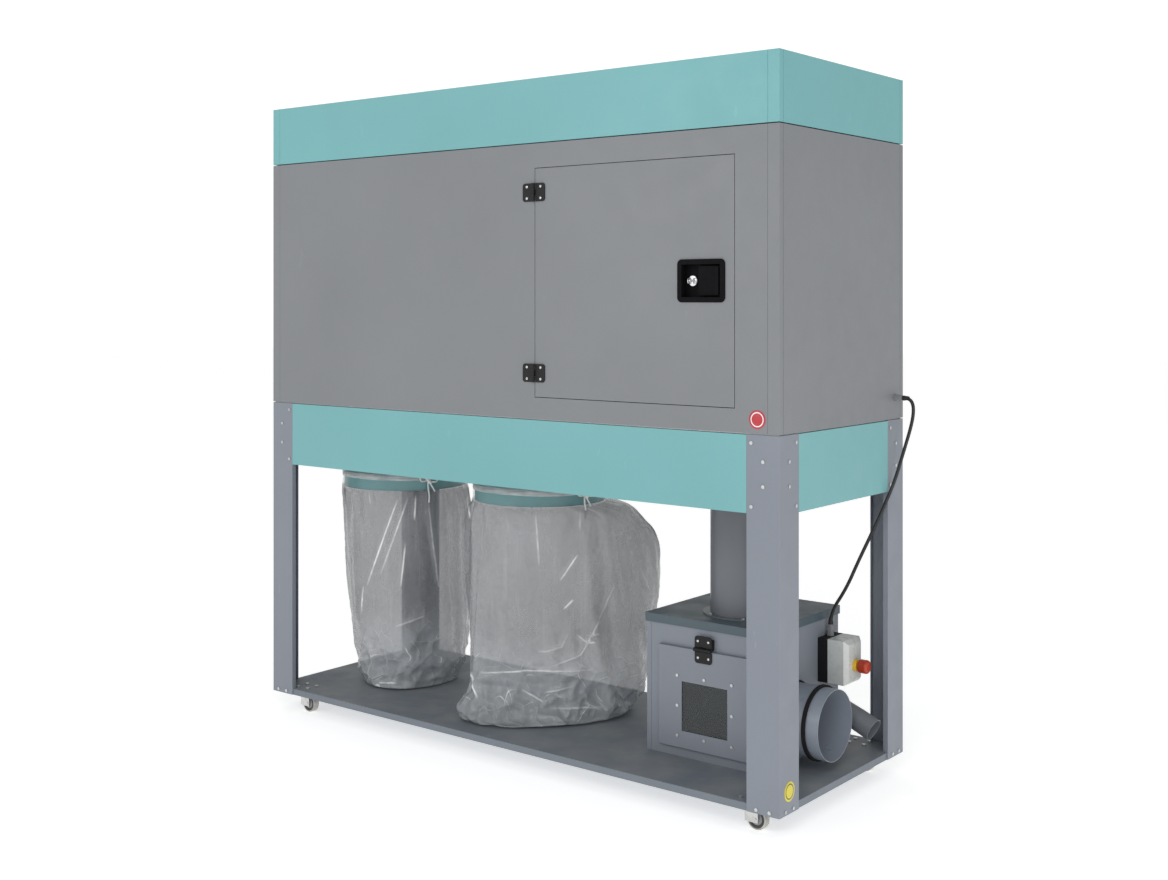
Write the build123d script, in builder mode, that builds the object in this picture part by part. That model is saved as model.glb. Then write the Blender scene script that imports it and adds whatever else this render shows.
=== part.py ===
from build123d import *
import os
from math import cos, pi, radians, sin, tan

os.makedirs("parts", exist_ok=True)

# ----------------------------------------------------------------------------------------------
# Driving dimensions, in millimetres.  +X right along the front, +Y to the rear, +Z up from the floor
# ----------------------------------------------------------------------------------------------
LENGTH = 2010            # frame and cabinet, left to right
WIDTH = 718              # frame and cabinet, front to back
LIFT = 62                # underside of the frame above the floor, on its casters
LEG_HEIGHT = 997         # underside of the frame to the underside of the cabinet
BODY_HEIGHT = 1003       # whole cabinet
BAND_HEIGHT = 190        # coloured cap round the top of the cabinet
SHEET = 2                # folded panels
PLATE = 3                # legs, base and cabinet floor
GROOVE = 4               # shadow gap between frame and cabinet
HINGE_PROUD = 12         # furthest that the door hinges stand out of the front
SCREW_PROUD = 2          # screw heads on the frame

LEG_FLANGE = 100
LEG_LIP = 15
BASE_DEPTH = 20
SKIRT_HEIGHT = 212
FOLD = 18                # inward folds that stiffen the panels
CORNER_STRIP = 35        # corner fold seen on the cabinet front

COLLAR_RADIUS = 212.5
COLLAR_HEIGHT = 100
COLLAR_X = (-723, -105)
MOUTH_X = ((-980, -428), (-405, 132))       # hopper mouths in the cabinet floor, left and right
MOUTH_DEPTH = 660

DOOR_WIDTH = 690
DOOR_HEIGHT = 672
DOOR_TO_RIGHT = 138      # door's free edge to the right end of the cabinet
DOOR_RISE = 64           # door's lower edge above the cabinet's underside
DOOR_DEPTH = 20
DOOR_GAP = 2

SEPARATOR_X = (425, 824)
SEPARATOR_LENGTH = 433   # front to back
SEPARATOR_HEIGHT = 404   # base top to lid top
DUCT_RADIUS = 100
DUCT_X = 654
STARTER_BACK = 33
STARTER_COVER = 64
CABLE_DIAMETER = 10

WHEEL_RADIUS = 30
CASTER_X = 890
CASTER_Y = 305
CASTER_TRAIL = 18

# ---- places worked out from them ----
MID_Y = (HINGE_PROUD - SCREW_PROUD) / 2      # middle of the frame, so that the whole stands centred
LEFT = -LENGTH / 2
RIGHT = LENGTH / 2
FRONT = MID_Y - WIDTH / 2
BACK = MID_Y + WIDTH / 2
BASE_TOP = LIFT + BASE_DEPTH
CABINET_BOTTOM = LIFT + LEG_HEIGHT
LEG_TOP = CABINET_BOTTOM - GROOVE
FLOOR_TOP = LEG_TOP + PLATE
CABINET_TOP = CABINET_BOTTOM + BODY_HEIGHT
BAND_BOTTOM = CABINET_TOP - BAND_HEIGHT
BODY_TOP = BAND_BOTTOM - PLATE
SKIRT_BOTTOM = CABINET_BOTTOM - SKIRT_HEIGHT
COLLAR_TOP = SKIRT_BOTTOM + 15
COLLAR_BOTTOM = COLLAR_TOP - COLLAR_HEIGHT
PARTITION_X = 140
FILTER_PLATE_Z = BAND_BOTTOM - 50
DOOR_X = (RIGHT - DOOR_TO_RIGHT - DOOR_WIDTH, RIGHT - DOOR_TO_RIGHT)
DOOR_Z = (CABINET_BOTTOM + DOOR_RISE, CABINET_BOTTOM + DOOR_RISE + DOOR_HEIGHT)
SEPARATOR_Y = (MID_Y - 140, MID_Y - 140 + SEPARATOR_LENGTH)
LID_TOP = BASE_TOP + SEPARATOR_HEIGHT
DUCT_Y = MID_Y + 33
SPIGOT_Y = MID_Y + 7
SPIGOT_Z = LIFT + 152
SPIGOT_END = SEPARATOR_X[1] + 145


# ----------------------------------------------------------------------------------------------
# Helpers
# ----------------------------------------------------------------------------------------------
def block(x, y, z, mode=Mode.ADD):
    """A box between two limits on each axis, in the active part."""
    with Locations(((x[0] + x[1]) / 2, (y[0] + y[1]) / 2, (z[0] + z[1]) / 2)):
        Box(abs(x[1] - x[0]), abs(y[1] - y[0]), abs(z[1] - z[0]), mode=mode)


def grow(limits, by):
    """Limits moved outwards by a distance, or inwards when it is negative."""
    return (limits[0] - by, limits[1] + by)


def post(radius, centre, z, mode=Mode.ADD):
    """An upright cylinder between two heights."""
    with Locations((centre[0], centre[1], (z[0] + z[1]) / 2)):
        Cylinder(radius, z[1] - z[0], mode=mode)


def bar_x(radius, x, centre, mode=Mode.ADD):
    """A cylinder along X between two places, about centre=(y, z)."""
    with Locations(Location(((x[0] + x[1]) / 2, centre[0], centre[1]), (0, 90, 0))):
        Cylinder(radius, abs(x[1] - x[0]), mode=mode)


def bar_y(radius, y, centre, mode=Mode.ADD):
    """A cylinder along Y between two places, about centre=(x, z)."""
    with Locations(Location((centre[0], (y[0] + y[1]) / 2, centre[1]), (90, 0, 0))):
        Cylinder(radius, abs(y[1] - y[0]), mode=mode)


def save(piece, label):
    """Label a finished piece and write it."""
    piece.label = label
    export_step(piece, f"parts/{label}.step")


def together(*pieces):
    """Several solids that share one node, kept apart."""
    return Compound(children=list(pieces))


# ----------------------------------------------------------------------------------------------
# Legs: folded angles with a stiffening lip along each flange
# ----------------------------------------------------------------------------------------------
def make_leg(label, side, end):
    """side = -1 left or 1 right, end = -1 front or 1 rear."""
    corner_x = side * LENGTH / 2
    corner_y = MID_Y + end * WIDTH / 2
    edge_x = corner_x - side * LEG_FLANGE
    edge_y = corner_y - end * LEG_FLANGE
    whole = (LIFT, LEG_TOP)
    above_base = (BASE_TOP, LEG_TOP)
    with BuildPart() as leg:
        block((corner_x, edge_x), (corner_y, corner_y - end * PLATE), whole)
        block((corner_x, corner_x - side * PLATE), (corner_y, edge_y), whole)
        half_way_up = (corner_x, corner_y, LIFT + LEG_HEIGHT / 2)
        corner = leg.edges().filter_by(Axis.Z).sort_by_distance(half_way_up)[0]
        fillet(corner, PLATE - 0.5)
        block((edge_x, edge_x + side * PLATE), (corner_y, corner_y - end * LEG_LIP), above_base)
        block((corner_x, corner_x - side * LEG_LIP), (edge_y, edge_y + end * PLATE), above_base)
    save(leg.part, label)


for end_name, end in (("front", -1), ("rear", 1)):
    for side_name, side in (("left", -1), ("right", 1)):
        make_leg(f"leg_{end_name}_{side_name}", side, end)


# ----------------------------------------------------------------------------------------------
# Base pan: a sheet tray with its edges folded down, inside the legs
# ----------------------------------------------------------------------------------------------
PAN_X = grow((LEFT, RIGHT), -PLATE - 0.2)
PAN_Y = grow((FRONT, BACK), -PLATE - 0.2)

with BuildPart() as base_pan:
    block(PAN_X, PAN_Y, (LIFT, BASE_TOP))
    block(grow(PAN_X, -PLATE), grow(PAN_Y, -PLATE), (LIFT - 1, BASE_TOP - PLATE), Mode.SUBTRACT)
save(base_pan.part, "base_pan")


# ----------------------------------------------------------------------------------------------
# Skirt panels between the legs, folded inwards at top and bottom
# ----------------------------------------------------------------------------------------------
SKIRT_Z = (SKIRT_BOTTOM, LEG_TOP - 1)
SKIRT_GAP = 0.5


def skirt_panel(face, fold, along_x):
    """face and fold are the outer and innermost places across the panel."""
    inner = face + SHEET if fold > face else face - SHEET
    span = (LEFT, RIGHT) if along_x else (FRONT, BACK)
    span = grow(span, -LEG_FLANGE - SKIRT_GAP)
    with BuildPart() as panel:
        for depth, z in (
            (inner, SKIRT_Z),
            (fold, (SKIRT_Z[0], SKIRT_Z[0] + SHEET)),
            (fold, (SKIRT_Z[1] - SHEET, SKIRT_Z[1])),
        ):
            if along_x:
                block(span, (face, depth), z)
            else:
                block((face, depth), span, z)
    return panel.part


save(
    together(
        skirt_panel(FRONT, FRONT + FOLD, True),
        skirt_panel(BACK, BACK - FOLD, True),
        skirt_panel(LEFT, LEFT + FOLD, False),
        skirt_panel(RIGHT, RIGHT - FOLD, False),
    ),
    "skirt_panels",
)


# ----------------------------------------------------------------------------------------------
# Cabinet floor, with a mouth over each bag and a round hole for the duct
# ----------------------------------------------------------------------------------------------
FLOOR_X = grow((LEFT, RIGHT), -6)
FLOOR_Y = grow((FRONT, BACK), -6)
MOUTH_Y = (MID_Y - MOUTH_DEPTH / 2, MID_Y + MOUTH_DEPTH / 2)

with BuildPart() as cabinet_floor:
    block(FLOOR_X, FLOOR_Y, (LEG_TOP, FLOOR_TOP))
    for mouth in MOUTH_X:
        block(mouth, MOUTH_Y, (LEG_TOP - 1, FLOOR_TOP + 1), Mode.SUBTRACT)
    post(DUCT_RADIUS + 0.2, (DUCT_X, DUCT_Y), (LEG_TOP - 1, FLOOR_TOP + 1), Mode.SUBTRACT)
save(cabinet_floor.part, "cabinet_floor")


# ----------------------------------------------------------------------------------------------
# Cabinet panels
# ----------------------------------------------------------------------------------------------
PANEL_X = grow((LEFT, RIGHT), -CORNER_STRIP - 0.8)
PANEL_Z = (FLOOR_TOP, BODY_TOP)
OPENING_X = grow(DOOR_X, DOOR_GAP)
OPENING_Z = grow(DOOR_Z, DOOR_GAP)
REBATE = 26              # depth of the folded frame round the door
STOP = 15                # width of the lip that the door closes on

with BuildPart() as cabinet_front:
    block(PANEL_X, (FRONT, FRONT + SHEET), PANEL_Z)
    block(PANEL_X, (FRONT, FRONT + FOLD), (PANEL_Z[0], PANEL_Z[0] + SHEET))
    block(PANEL_X, (FRONT, FRONT + FOLD), (PANEL_Z[1] - SHEET, PANEL_Z[1]))
    block(grow(OPENING_X, SHEET), (FRONT, FRONT + REBATE), grow(OPENING_Z, SHEET))
    block(OPENING_X, (FRONT - 1, FRONT + REBATE - SHEET), OPENING_Z, Mode.SUBTRACT)
    block(grow(OPENING_X, -STOP), (FRONT, FRONT + REBATE + 1), grow(OPENING_Z, -STOP), Mode.SUBTRACT)
save(cabinet_front.part, "cabinet_front")

with BuildPart() as cabinet_rear:
    block(PANEL_X, (BACK - SHEET, BACK), PANEL_Z)
    block(PANEL_X, (BACK - FOLD, BACK), (PANEL_Z[0], PANEL_Z[0] + SHEET))
    block(PANEL_X, (BACK - FOLD, BACK), (PANEL_Z[1] - SHEET, PANEL_Z[1]))
save(cabinet_rear.part, "cabinet_rear")

GLAND_Y = MID_Y + 302
GLAND_Z = LIFT + 1058
SIDE_SEAM = 20           # shallow seam down each end, beside the corner


def side_panel(side):
    """End panel folded round both corners; the right one has the cable's hole."""
    face = side * LENGTH / 2
    inner = face - side * SHEET
    strip = face - side * CORNER_STRIP
    with BuildPart() as panel:
        block((face, inner), (FRONT, BACK), PANEL_Z)
        block((face, strip), (FRONT, FRONT + SHEET), PANEL_Z)
        block((face, strip), (BACK - SHEET, BACK), PANEL_Z)
        corners = panel.edges().filter_by(Axis.Z).group_by(Axis.X)[0 if side < 0 else -1]
        fillet(corners, SHEET - 0.4)
        for seam in (FRONT + SIDE_SEAM, BACK - SIDE_SEAM):
            block((face, face - side * 0.8), (seam - 0.8, seam + 0.8), PANEL_Z, Mode.SUBTRACT)
        if side > 0:
            bar_x(8, (inner - 1, face + 1), (GLAND_Y, GLAND_Z), Mode.SUBTRACT)
    return panel.part


save(together(side_panel(-1), side_panel(1)), "cabinet_side_panels")


# ----------------------------------------------------------------------------------------------
# Top cap: the coloured band with the roof sheet, and the clean-air grille in the roof
# ----------------------------------------------------------------------------------------------
ROOF = (CABINET_TOP - SHEET, CABINET_TOP)
GRILLE_X = (-780, -80)
GRILLE_Y = (MID_Y - 180, MID_Y + 180)
GRILLE_RIM = 20
LOUVRES = 11

with BuildPart() as top_cap:
    block((LEFT, RIGHT), (FRONT, BACK), (BAND_BOTTOM, CABINET_TOP))
    fillet(top_cap.edges().filter_by(Axis.Z), SHEET - 0.4)
    inside_x = grow((LEFT, RIGHT), -SHEET)
    inside_y = grow((FRONT, BACK), -SHEET)
    block(inside_x, inside_y, (BAND_BOTTOM - 1, ROOF[0]), Mode.SUBTRACT)
    band = (BAND_BOTTOM, CABINET_TOP)
    for seam in (LEFT + CORNER_STRIP, RIGHT - CORNER_STRIP):
        for face in (FRONT, BACK):
            block((seam - 0.8, seam + 0.8), (face - 0.8, face + 0.8), band, Mode.SUBTRACT)
    for seam in (FRONT + SIDE_SEAM, BACK - SIDE_SEAM):
        for face in (LEFT, RIGHT):
            block((face - 0.8, face + 0.8), (seam - 0.8, seam + 0.8), band, Mode.SUBTRACT)
    block(grow(GRILLE_X, -GRILLE_RIM), grow(GRILLE_Y, -GRILLE_RIM), (ROOF[0] - 1, ROOF[1] + 1), Mode.SUBTRACT)
save(top_cap.part, "top_cap")

with BuildPart() as outlet_grille:
    block(GRILLE_X, GRILLE_Y, (ROOF[0] - PLATE, ROOF[0]))
    block(grow(GRILLE_X, -GRILLE_RIM), grow(GRILLE_Y, -GRILLE_RIM), (ROOF[0] - 10, ROOF[1]), Mode.SUBTRACT)
    pitch = (GRILLE_Y[1] - GRILLE_Y[0] - 2 * GRILLE_RIM) / (LOUVRES + 1)
    for row in range(LOUVRES):
        bar_middle = GRILLE_Y[0] + GRILLE_RIM + pitch * (row + 1)
        louvre_x = grow(GRILLE_X, -GRILLE_RIM + 2)
        block(louvre_x, (bar_middle - 7, bar_middle + 7), (ROOF[0] - PLATE, ROOF[0] - 1))
save(outlet_grille.part, "outlet_grille")


# ----------------------------------------------------------------------------------------------
# Inside the cabinet: partition, filter plate and cartridges
# ----------------------------------------------------------------------------------------------
SCROLL_RADIUS = 250
SCROLL_BOTTOM = FLOOR_TOP + 0.2
SCROLL_TOP = SCROLL_BOTTOM + 180
OUTLET_Y = (DUCT_Y + 80, DUCT_Y + SCROLL_RADIUS)

with BuildPart() as partition:
    block((PARTITION_X - SHEET, PARTITION_X), grow((FRONT, BACK), -SHEET - 0.3), (FLOOR_TOP, BODY_TOP - 5))
    through = grow((PARTITION_X, PARTITION_X), 5)
    above_fold = (FLOOR_TOP, FLOOR_TOP + SHEET + 1)
    block(through, grow(OUTLET_Y, 0.5), (SCROLL_BOTTOM, SCROLL_TOP + 0.5), Mode.SUBTRACT)
    block(through, (FRONT, FRONT + FOLD + 1), above_fold, Mode.SUBTRACT)
    block(through, (BACK - FOLD - 1, BACK), above_fold, Mode.SUBTRACT)
save(partition.part, "partition")

CHAMBER_X = (LEFT + SHEET + 0.3, PARTITION_X - SHEET - 0.3)
CARTRIDGE_RADIUS = 100
CARTRIDGE_HOLE = 85
CARTRIDGE_LENGTH = 620
CARTRIDGE_GRID = (272, 330, 4, 2)         # pitch along X and Y, and how many each way
CHAMBER_MIDDLE = ((CHAMBER_X[0] + CHAMBER_X[1]) / 2, MID_Y)

with BuildPart() as filter_plate:
    block(CHAMBER_X, grow((FRONT, BACK), -SHEET - 0.3), (FILTER_PLATE_Z, FILTER_PLATE_Z + PLATE))
    with Locations((CHAMBER_MIDDLE[0], CHAMBER_MIDDLE[1], FILTER_PLATE_Z)):
        with GridLocations(*CARTRIDGE_GRID):
            Cylinder(CARTRIDGE_HOLE, 4 * PLATE, mode=Mode.SUBTRACT)
save(filter_plate.part, "filter_plate")

with BuildPart() as filter_cartridges:
    with Locations((CHAMBER_MIDDLE[0], CHAMBER_MIDDLE[1], FILTER_PLATE_Z - CARTRIDGE_LENGTH / 2)):
        with GridLocations(*CARTRIDGE_GRID):
            Cylinder(CARTRIDGE_RADIUS, CARTRIDGE_LENGTH)
    with Locations((CHAMBER_MIDDLE[0], CHAMBER_MIDDLE[1], FILTER_PLATE_Z - CARTRIDGE_LENGTH / 2 + PLATE)):
        with GridLocations(*CARTRIDGE_GRID):
            Cylinder(CARTRIDGE_HOLE - 15, CARTRIDGE_LENGTH, mode=Mode.SUBTRACT)
save(filter_cartridges.part, "filter_cartridges")


# ----------------------------------------------------------------------------------------------
# Fan: scroll, impeller on the motor's shaft, and the motor standing on the scroll
# ----------------------------------------------------------------------------------------------
SCROLL_WALL = 3
SHAFT_RADIUS = 14
IMPELLER_RADIUS = 205
IMPELLER_Z = (SCROLL_BOTTOM + 30, SCROLL_BOTTOM + 150)
MOTOR_RADIUS = 105
MOTOR_TOP = SCROLL_TOP + 330
FAN_CENTRE = (DUCT_X, DUCT_Y)


def scroll_body(wall, z, x_end, mode=Mode.ADD):
    """The scroll's drum and its tangent outlet towards the filters, less a wall."""
    post(SCROLL_RADIUS - wall, FAN_CENTRE, z, mode)
    block((x_end, DUCT_X), grow(OUTLET_Y, -wall), z, mode)


with BuildPart() as fan_scroll:
    scroll_body(0, (SCROLL_BOTTOM, SCROLL_TOP), PARTITION_X - 30)
    inside_z = (SCROLL_BOTTOM + SCROLL_WALL, SCROLL_TOP - SCROLL_WALL)
    scroll_body(SCROLL_WALL, inside_z, PARTITION_X - 31, Mode.SUBTRACT)
    post(DUCT_RADIUS - 2, FAN_CENTRE, (SCROLL_BOTTOM - 1, SCROLL_BOTTOM + 10), Mode.SUBTRACT)
    post(SHAFT_RADIUS + 6, FAN_CENTRE, (SCROLL_TOP - 10, SCROLL_TOP + 1), Mode.SUBTRACT)
save(fan_scroll.part, "fan_scroll")

BLADES = 10

with BuildPart() as impeller:
    post(IMPELLER_RADIUS, FAN_CENTRE, (IMPELLER_Z[1] - 4, IMPELLER_Z[1]))
    post(IMPELLER_RADIUS, FAN_CENTRE, (IMPELLER_Z[0], IMPELLER_Z[0] + 3))
    post(105, FAN_CENTRE, (IMPELLER_Z[0] - 1, IMPELLER_Z[0] + 4), Mode.SUBTRACT)
    post(34, FAN_CENTRE, (IMPELLER_Z[0] + 40, IMPELLER_Z[1]))
    with BuildSketch(Plane.XY.offset(IMPELLER_Z[0] + 1)):
        with Locations(FAN_CENTRE):
            with PolarLocations(155, BLADES):
                Rectangle(92, 3, rotation=35)
    extrude(amount=IMPELLER_Z[1] - IMPELLER_Z[0] - 2)
    post(SHAFT_RADIUS, FAN_CENTRE, (IMPELLER_Z[0] + 35, SCROLL_TOP + 120))
save(impeller.part, "impeller")

with BuildPart() as motor:
    post(MOTOR_RADIUS + 20, FAN_CENTRE, (SCROLL_TOP + 0.2, SCROLL_TOP + 14))
    post(MOTOR_RADIUS - 10, FAN_CENTRE, (SCROLL_TOP + 14, MOTOR_TOP - 60))
    post(MOTOR_RADIUS, FAN_CENTRE, (MOTOR_TOP - 60, MOTOR_TOP))
    with BuildSketch(Plane.XY.offset(SCROLL_TOP + 30)):
        with Locations(FAN_CENTRE):
            with PolarLocations(MOTOR_RADIUS - 8, 28):
                Rectangle(16, 3)
    extrude(amount=MOTOR_TOP - 80 - SCROLL_TOP - 30)
    block((DUCT_X - 50, DUCT_X + 50), (DUCT_Y - 160, DUCT_Y - 80), (SCROLL_TOP + 120, SCROLL_TOP + 220))
    post(SHAFT_RADIUS + 0.05, FAN_CENTRE, (SCROLL_TOP - 1, SCROLL_TOP + 121), Mode.SUBTRACT)
save(motor.part, "motor")


# ----------------------------------------------------------------------------------------------
# Hoppers, bag collars, bags and straps
# ----------------------------------------------------------------------------------------------
HOPPER_WALL = 3


def hopper(mouth, collar_x):
    """A funnel from the rectangular mouth down to the round collar."""
    middle = ((mouth[0] + mouth[1]) / 2, MID_Y)
    width = mouth[1] - mouth[0]
    top = LEG_TOP - 0.2
    with BuildPart() as funnel:
        with BuildSketch(Plane.XY.offset(top)):
            with Locations(middle):
                Rectangle(width, MOUTH_DEPTH)
        with BuildSketch(Plane.XY.offset(COLLAR_TOP)):
            with Locations((collar_x, MID_Y)):
                Circle(COLLAR_RADIUS)
        loft()
        with BuildSketch(Plane.XY.offset(top)):
            with Locations(middle):
                Rectangle(width - 2 * HOPPER_WALL, MOUTH_DEPTH - 2 * HOPPER_WALL)
        with BuildSketch(Plane.XY.offset(COLLAR_TOP)):
            with Locations((collar_x, MID_Y)):
                Circle(COLLAR_RADIUS - HOPPER_WALL)
        loft(mode=Mode.SUBTRACT)
    return funnel.part


save(together(*[hopper(mouth, x) for mouth, x in zip(MOUTH_X, COLLAR_X)]), "bag_hoppers")

with BuildPart() as bag_collars:
    for collar_x in COLLAR_X:
        post(COLLAR_RADIUS, (collar_x, MID_Y), (COLLAR_BOTTOM, COLLAR_TOP - 0.2))
        post(COLLAR_RADIUS - PLATE, (collar_x, MID_Y), (COLLAR_BOTTOM - 1, COLLAR_TOP), Mode.SUBTRACT)
save(bag_collars.part, "bag_collars")

VIEW_TURN = 38           # the flattened bags lie turned this far about Z, in degrees
BAG_FILM = 3
NECK_TOP = COLLAR_BOTTOM + 70
BAG_BOTTOM = BASE_TOP + 1
# height above the base, middle along and across the flat, half width along and across the flat
LEFT_BAG_SECTIONS = (
    (0, 25, 20, 165, 150),
    (150, 22, 12, 202, 176),
    (400, 12, 4, 224, 190),
    (600, 6, 0, 222, 205),
)
RIGHT_BAG_SECTIONS = (
    (0, 60, 60, 252, 190),
    (150, 77, 25, 309, 178),
    (400, 85, 5, 332, 162),
    (560, 80, 0, 330, 170),
    (640, 60, 0, 300, 185),
)


def bag(label, collar_x, sections):
    """A hanging bag: an oval shell, standing on the base, with a neck round the collar."""
    along = (cos(radians(VIEW_TURN)), sin(radians(VIEW_TURN)))
    neck = (COLLAR_BOTTOM - 0.5, NECK_TOP)

    def rings(inset, lowest):
        for rise, shift, forward, half_long, half_short in sections:
            centre_x = collar_x + shift * along[0] + forward * along[1]
            centre_y = MID_Y + shift * along[1] - forward * along[0]
            height = max(BAG_BOTTOM + rise, lowest)
            with BuildSketch(Plane.XY.offset(height)) as ring:
                with Locations((centre_x, centre_y)):
                    Ellipse(half_long - inset, half_short - inset, rotation=VIEW_TURN)
            yield ring.sketch
        with BuildSketch(Plane.XY.offset(neck[0])) as ring:
            with Locations((collar_x, MID_Y)):
                Ellipse(COLLAR_RADIUS + 3.2 - inset, COLLAR_RADIUS + 3.1 - inset, rotation=VIEW_TURN)
        yield ring.sketch

    with BuildPart() as shell:
        loft(list(rings(0, 0)), ruled=True)
        loft(list(rings(BAG_FILM, BAG_BOTTOM + BAG_FILM)), ruled=True, mode=Mode.SUBTRACT)
        with BuildSketch(Plane.XY.offset(neck[0])) as sleeve:
            with Locations((collar_x, MID_Y)):
                Circle(COLLAR_RADIUS + 3)
                Circle(COLLAR_RADIUS + 0.4, mode=Mode.SUBTRACT)
        extrude(sleeve.sketch, amount=neck[1] - neck[0])
    save(shell.part, label)


bag("bag_left", COLLAR_X[0], LEFT_BAG_SECTIONS)
bag("bag_right", COLLAR_X[1], RIGHT_BAG_SECTIONS)

STRAP_Z = (COLLAR_BOTTOM + 34, COLLAR_BOTTOM + 56)
STRAP_INNER = COLLAR_RADIUS + 3.3
BUCKLE_ANGLE = radians(-30)

with BuildPart() as bag_straps:
    for collar_x in COLLAR_X:
        post(STRAP_INNER + 1.5, (collar_x, MID_Y), STRAP_Z)
        buckle_x = collar_x + (STRAP_INNER + 6) * cos(BUCKLE_ANGLE)
        buckle_y = MID_Y + (STRAP_INNER + 6) * sin(BUCKLE_ANGLE)
        with Locations(Location((buckle_x, buckle_y, sum(STRAP_Z) / 2), (0, 0, -30))):
            Box(12, 46, 18)
        post(STRAP_INNER, (collar_x, MID_Y), (STRAP_Z[0] - 1, STRAP_Z[1] + 1), Mode.SUBTRACT)
save(bag_straps.part, "bag_straps")


# ----------------------------------------------------------------------------------------------
# Hinges: one pattern for the access door and for the separator's flap.
# In the hinge's plane x points across the moving leaf, y into the object and z along the pin
# ----------------------------------------------------------------------------------------------
KNUCKLE_RADIUS = 5.6
PIN_RADIUS = 2.5
PIN_STANDOFF = 6.4       # pin's axis in front of the face that the leaves lie on
LEAF = 3
LEAF_CORNER = 9

DOOR_PIN_X = DOOR_X[0] - 4
DOOR_HINGE_REACH = 42
DOOR_HINGE_HEIGHT = 54
DOOR_HINGE_Z = (CABINET_BOTTOM + 134, CABINET_BOTTOM + 666)

FLAP_X = (476, 794)
FLAP_Z = (LIFT + 49, LIFT + 340)
FLAP_DEPTH = 12
FLAP_FACE = SEPARATOR_Y[0] - FLAP_DEPTH - 0.3
FLAP_PIN_Z = LIFT + 344
FLAP_HINGE_X = 633
FLAP_HINGE_REACH = 39
FLAP_HINGE_HEIGHT = 58

door_hinge_planes = [
    Plane(origin=(DOOR_PIN_X, FRONT - PIN_STANDOFF, z), x_dir=(1, 0, 0), z_dir=(0, 0, 1))
    for z in DOOR_HINGE_Z
]
flap_hinge_plane = Plane(
    origin=(FLAP_HINGE_X, FLAP_FACE - PIN_STANDOFF, FLAP_PIN_Z), x_dir=(0, 0, -1), z_dir=(1, 0, 0)
)


def hinge_leaf(plane, reach, height, side, spacer=0):
    """One leaf with its knuckles: side = -1 fixed, two outer knuckles; side = 1 moving, the middle one."""
    third = height / 3
    leaf_y = (PIN_STANDOFF - LEAF, PIN_STANDOFF)
    if side < 0:
        knuckles = ((-height / 2, -third / 2 - 0.2), (third / 2 + 0.2, height / 2))
    else:
        knuckles = ((-third / 2 + 0.2, third / 2 - 0.2),)
    with BuildPart(plane) as leaf:
        block((side * (KNUCKLE_RADIUS + 1.6), side * reach), leaf_y, (-height / 2, height / 2))
        across = leaf.edges().filter_by(Axis(plane.origin, plane.y_dir))
        outer = [edge for edge in across if abs(plane.to_local_coords(edge.center()).X) > reach - 1]
        fillet(outer, LEAF_CORNER)
        for z in knuckles:
            block((0, side * (KNUCKLE_RADIUS + 2)), leaf_y, z)
            post(KNUCKLE_RADIUS, (0, 0), z)
            bore = PIN_RADIUS if side < 0 else PIN_RADIUS + 0.05
            post(bore, (0, 0), (z[0] - 1, z[1] + 1), Mode.SUBTRACT)
        if spacer:
            spacer_x = (side * 2, side * (reach - LEAF_CORNER))
            block(spacer_x, (PIN_STANDOFF, PIN_STANDOFF + spacer), (-height / 2, height / 2))
    return leaf.part


def hinge_pin(plane, height):
    with BuildPart(plane) as pin:
        post(PIN_RADIUS, (0, 0), (-height / 2 + 1, height / 2 - 1))
    return pin.part


fixed_leaves = [hinge_leaf(plane, DOOR_HINGE_REACH, DOOR_HINGE_HEIGHT, -1) for plane in door_hinge_planes]
fixed_leaves.append(hinge_leaf(flap_hinge_plane, FLAP_HINGE_REACH, FLAP_HINGE_HEIGHT, -1, FLAP_DEPTH + 0.3))
save(together(*fixed_leaves), "hinge_leaves_fixed")

moving_leaves = [hinge_leaf(plane, DOOR_HINGE_REACH, DOOR_HINGE_HEIGHT, 1) for plane in door_hinge_planes]
save(together(*moving_leaves), "door_hinge_leaves")
save(hinge_leaf(flap_hinge_plane, FLAP_HINGE_REACH, FLAP_HINGE_HEIGHT, 1), "flap_hinge_leaf")

pins = [hinge_pin(plane, DOOR_HINGE_HEIGHT) for plane in door_hinge_planes]
pins.append(hinge_pin(flap_hinge_plane, FLAP_HINGE_HEIGHT))
save(together(*pins), "hinge_pins")


# ----------------------------------------------------------------------------------------------
# Access door with its seal, latch and lock
# ----------------------------------------------------------------------------------------------
CUP_WIDTH = 153
CUP_HEIGHT = 117
CUP_RIM = 5              # stands out of the door
CUP_DEPTH = 24
CUP_MARGIN = 10
CUP_WALL = 4
CUP_X = RIGHT - 242.5
CUP_Z = CABINET_BOTTOM + 401.5
POCKET_X = (CUP_X - CUP_WIDTH / 2 + CUP_MARGIN + CUP_WALL, CUP_X + CUP_WIDTH / 2 - CUP_MARGIN - CUP_WALL)
POCKET_Z = (CUP_Z - CUP_HEIGHT / 2 + CUP_MARGIN + CUP_WALL, CUP_Z + CUP_HEIGHT / 2 - CUP_MARGIN - CUP_WALL)
PADDLE_PIN_X = CUP_X - 10
PADDLE_PIN_Y = FRONT + 9
LOCK_X = CUP_X - 37
LOCK_RADIUS = 10
BOLT_X = (CUP_X + 27, CUP_X + 87)
BOLT_Y = (FRONT + 27.4, FRONT + 33.4)
BOLT_HALF = 12

with BuildPart() as access_door:
    block(DOOR_X, (FRONT, FRONT + DOOR_DEPTH), DOOR_Z)
    block(grow(DOOR_X, -SHEET), (FRONT + SHEET, FRONT + DOOR_DEPTH + 1), grow(DOOR_Z, -SHEET), Mode.SUBTRACT)
    cut_x = grow(POCKET_X, CUP_WALL + 0.2)
    cut_z = grow(POCKET_Z, CUP_WALL + 0.2)
    block(cut_x, (FRONT - 1, FRONT + 5), cut_z, Mode.SUBTRACT)
save(access_door.part, "access_door")

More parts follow.
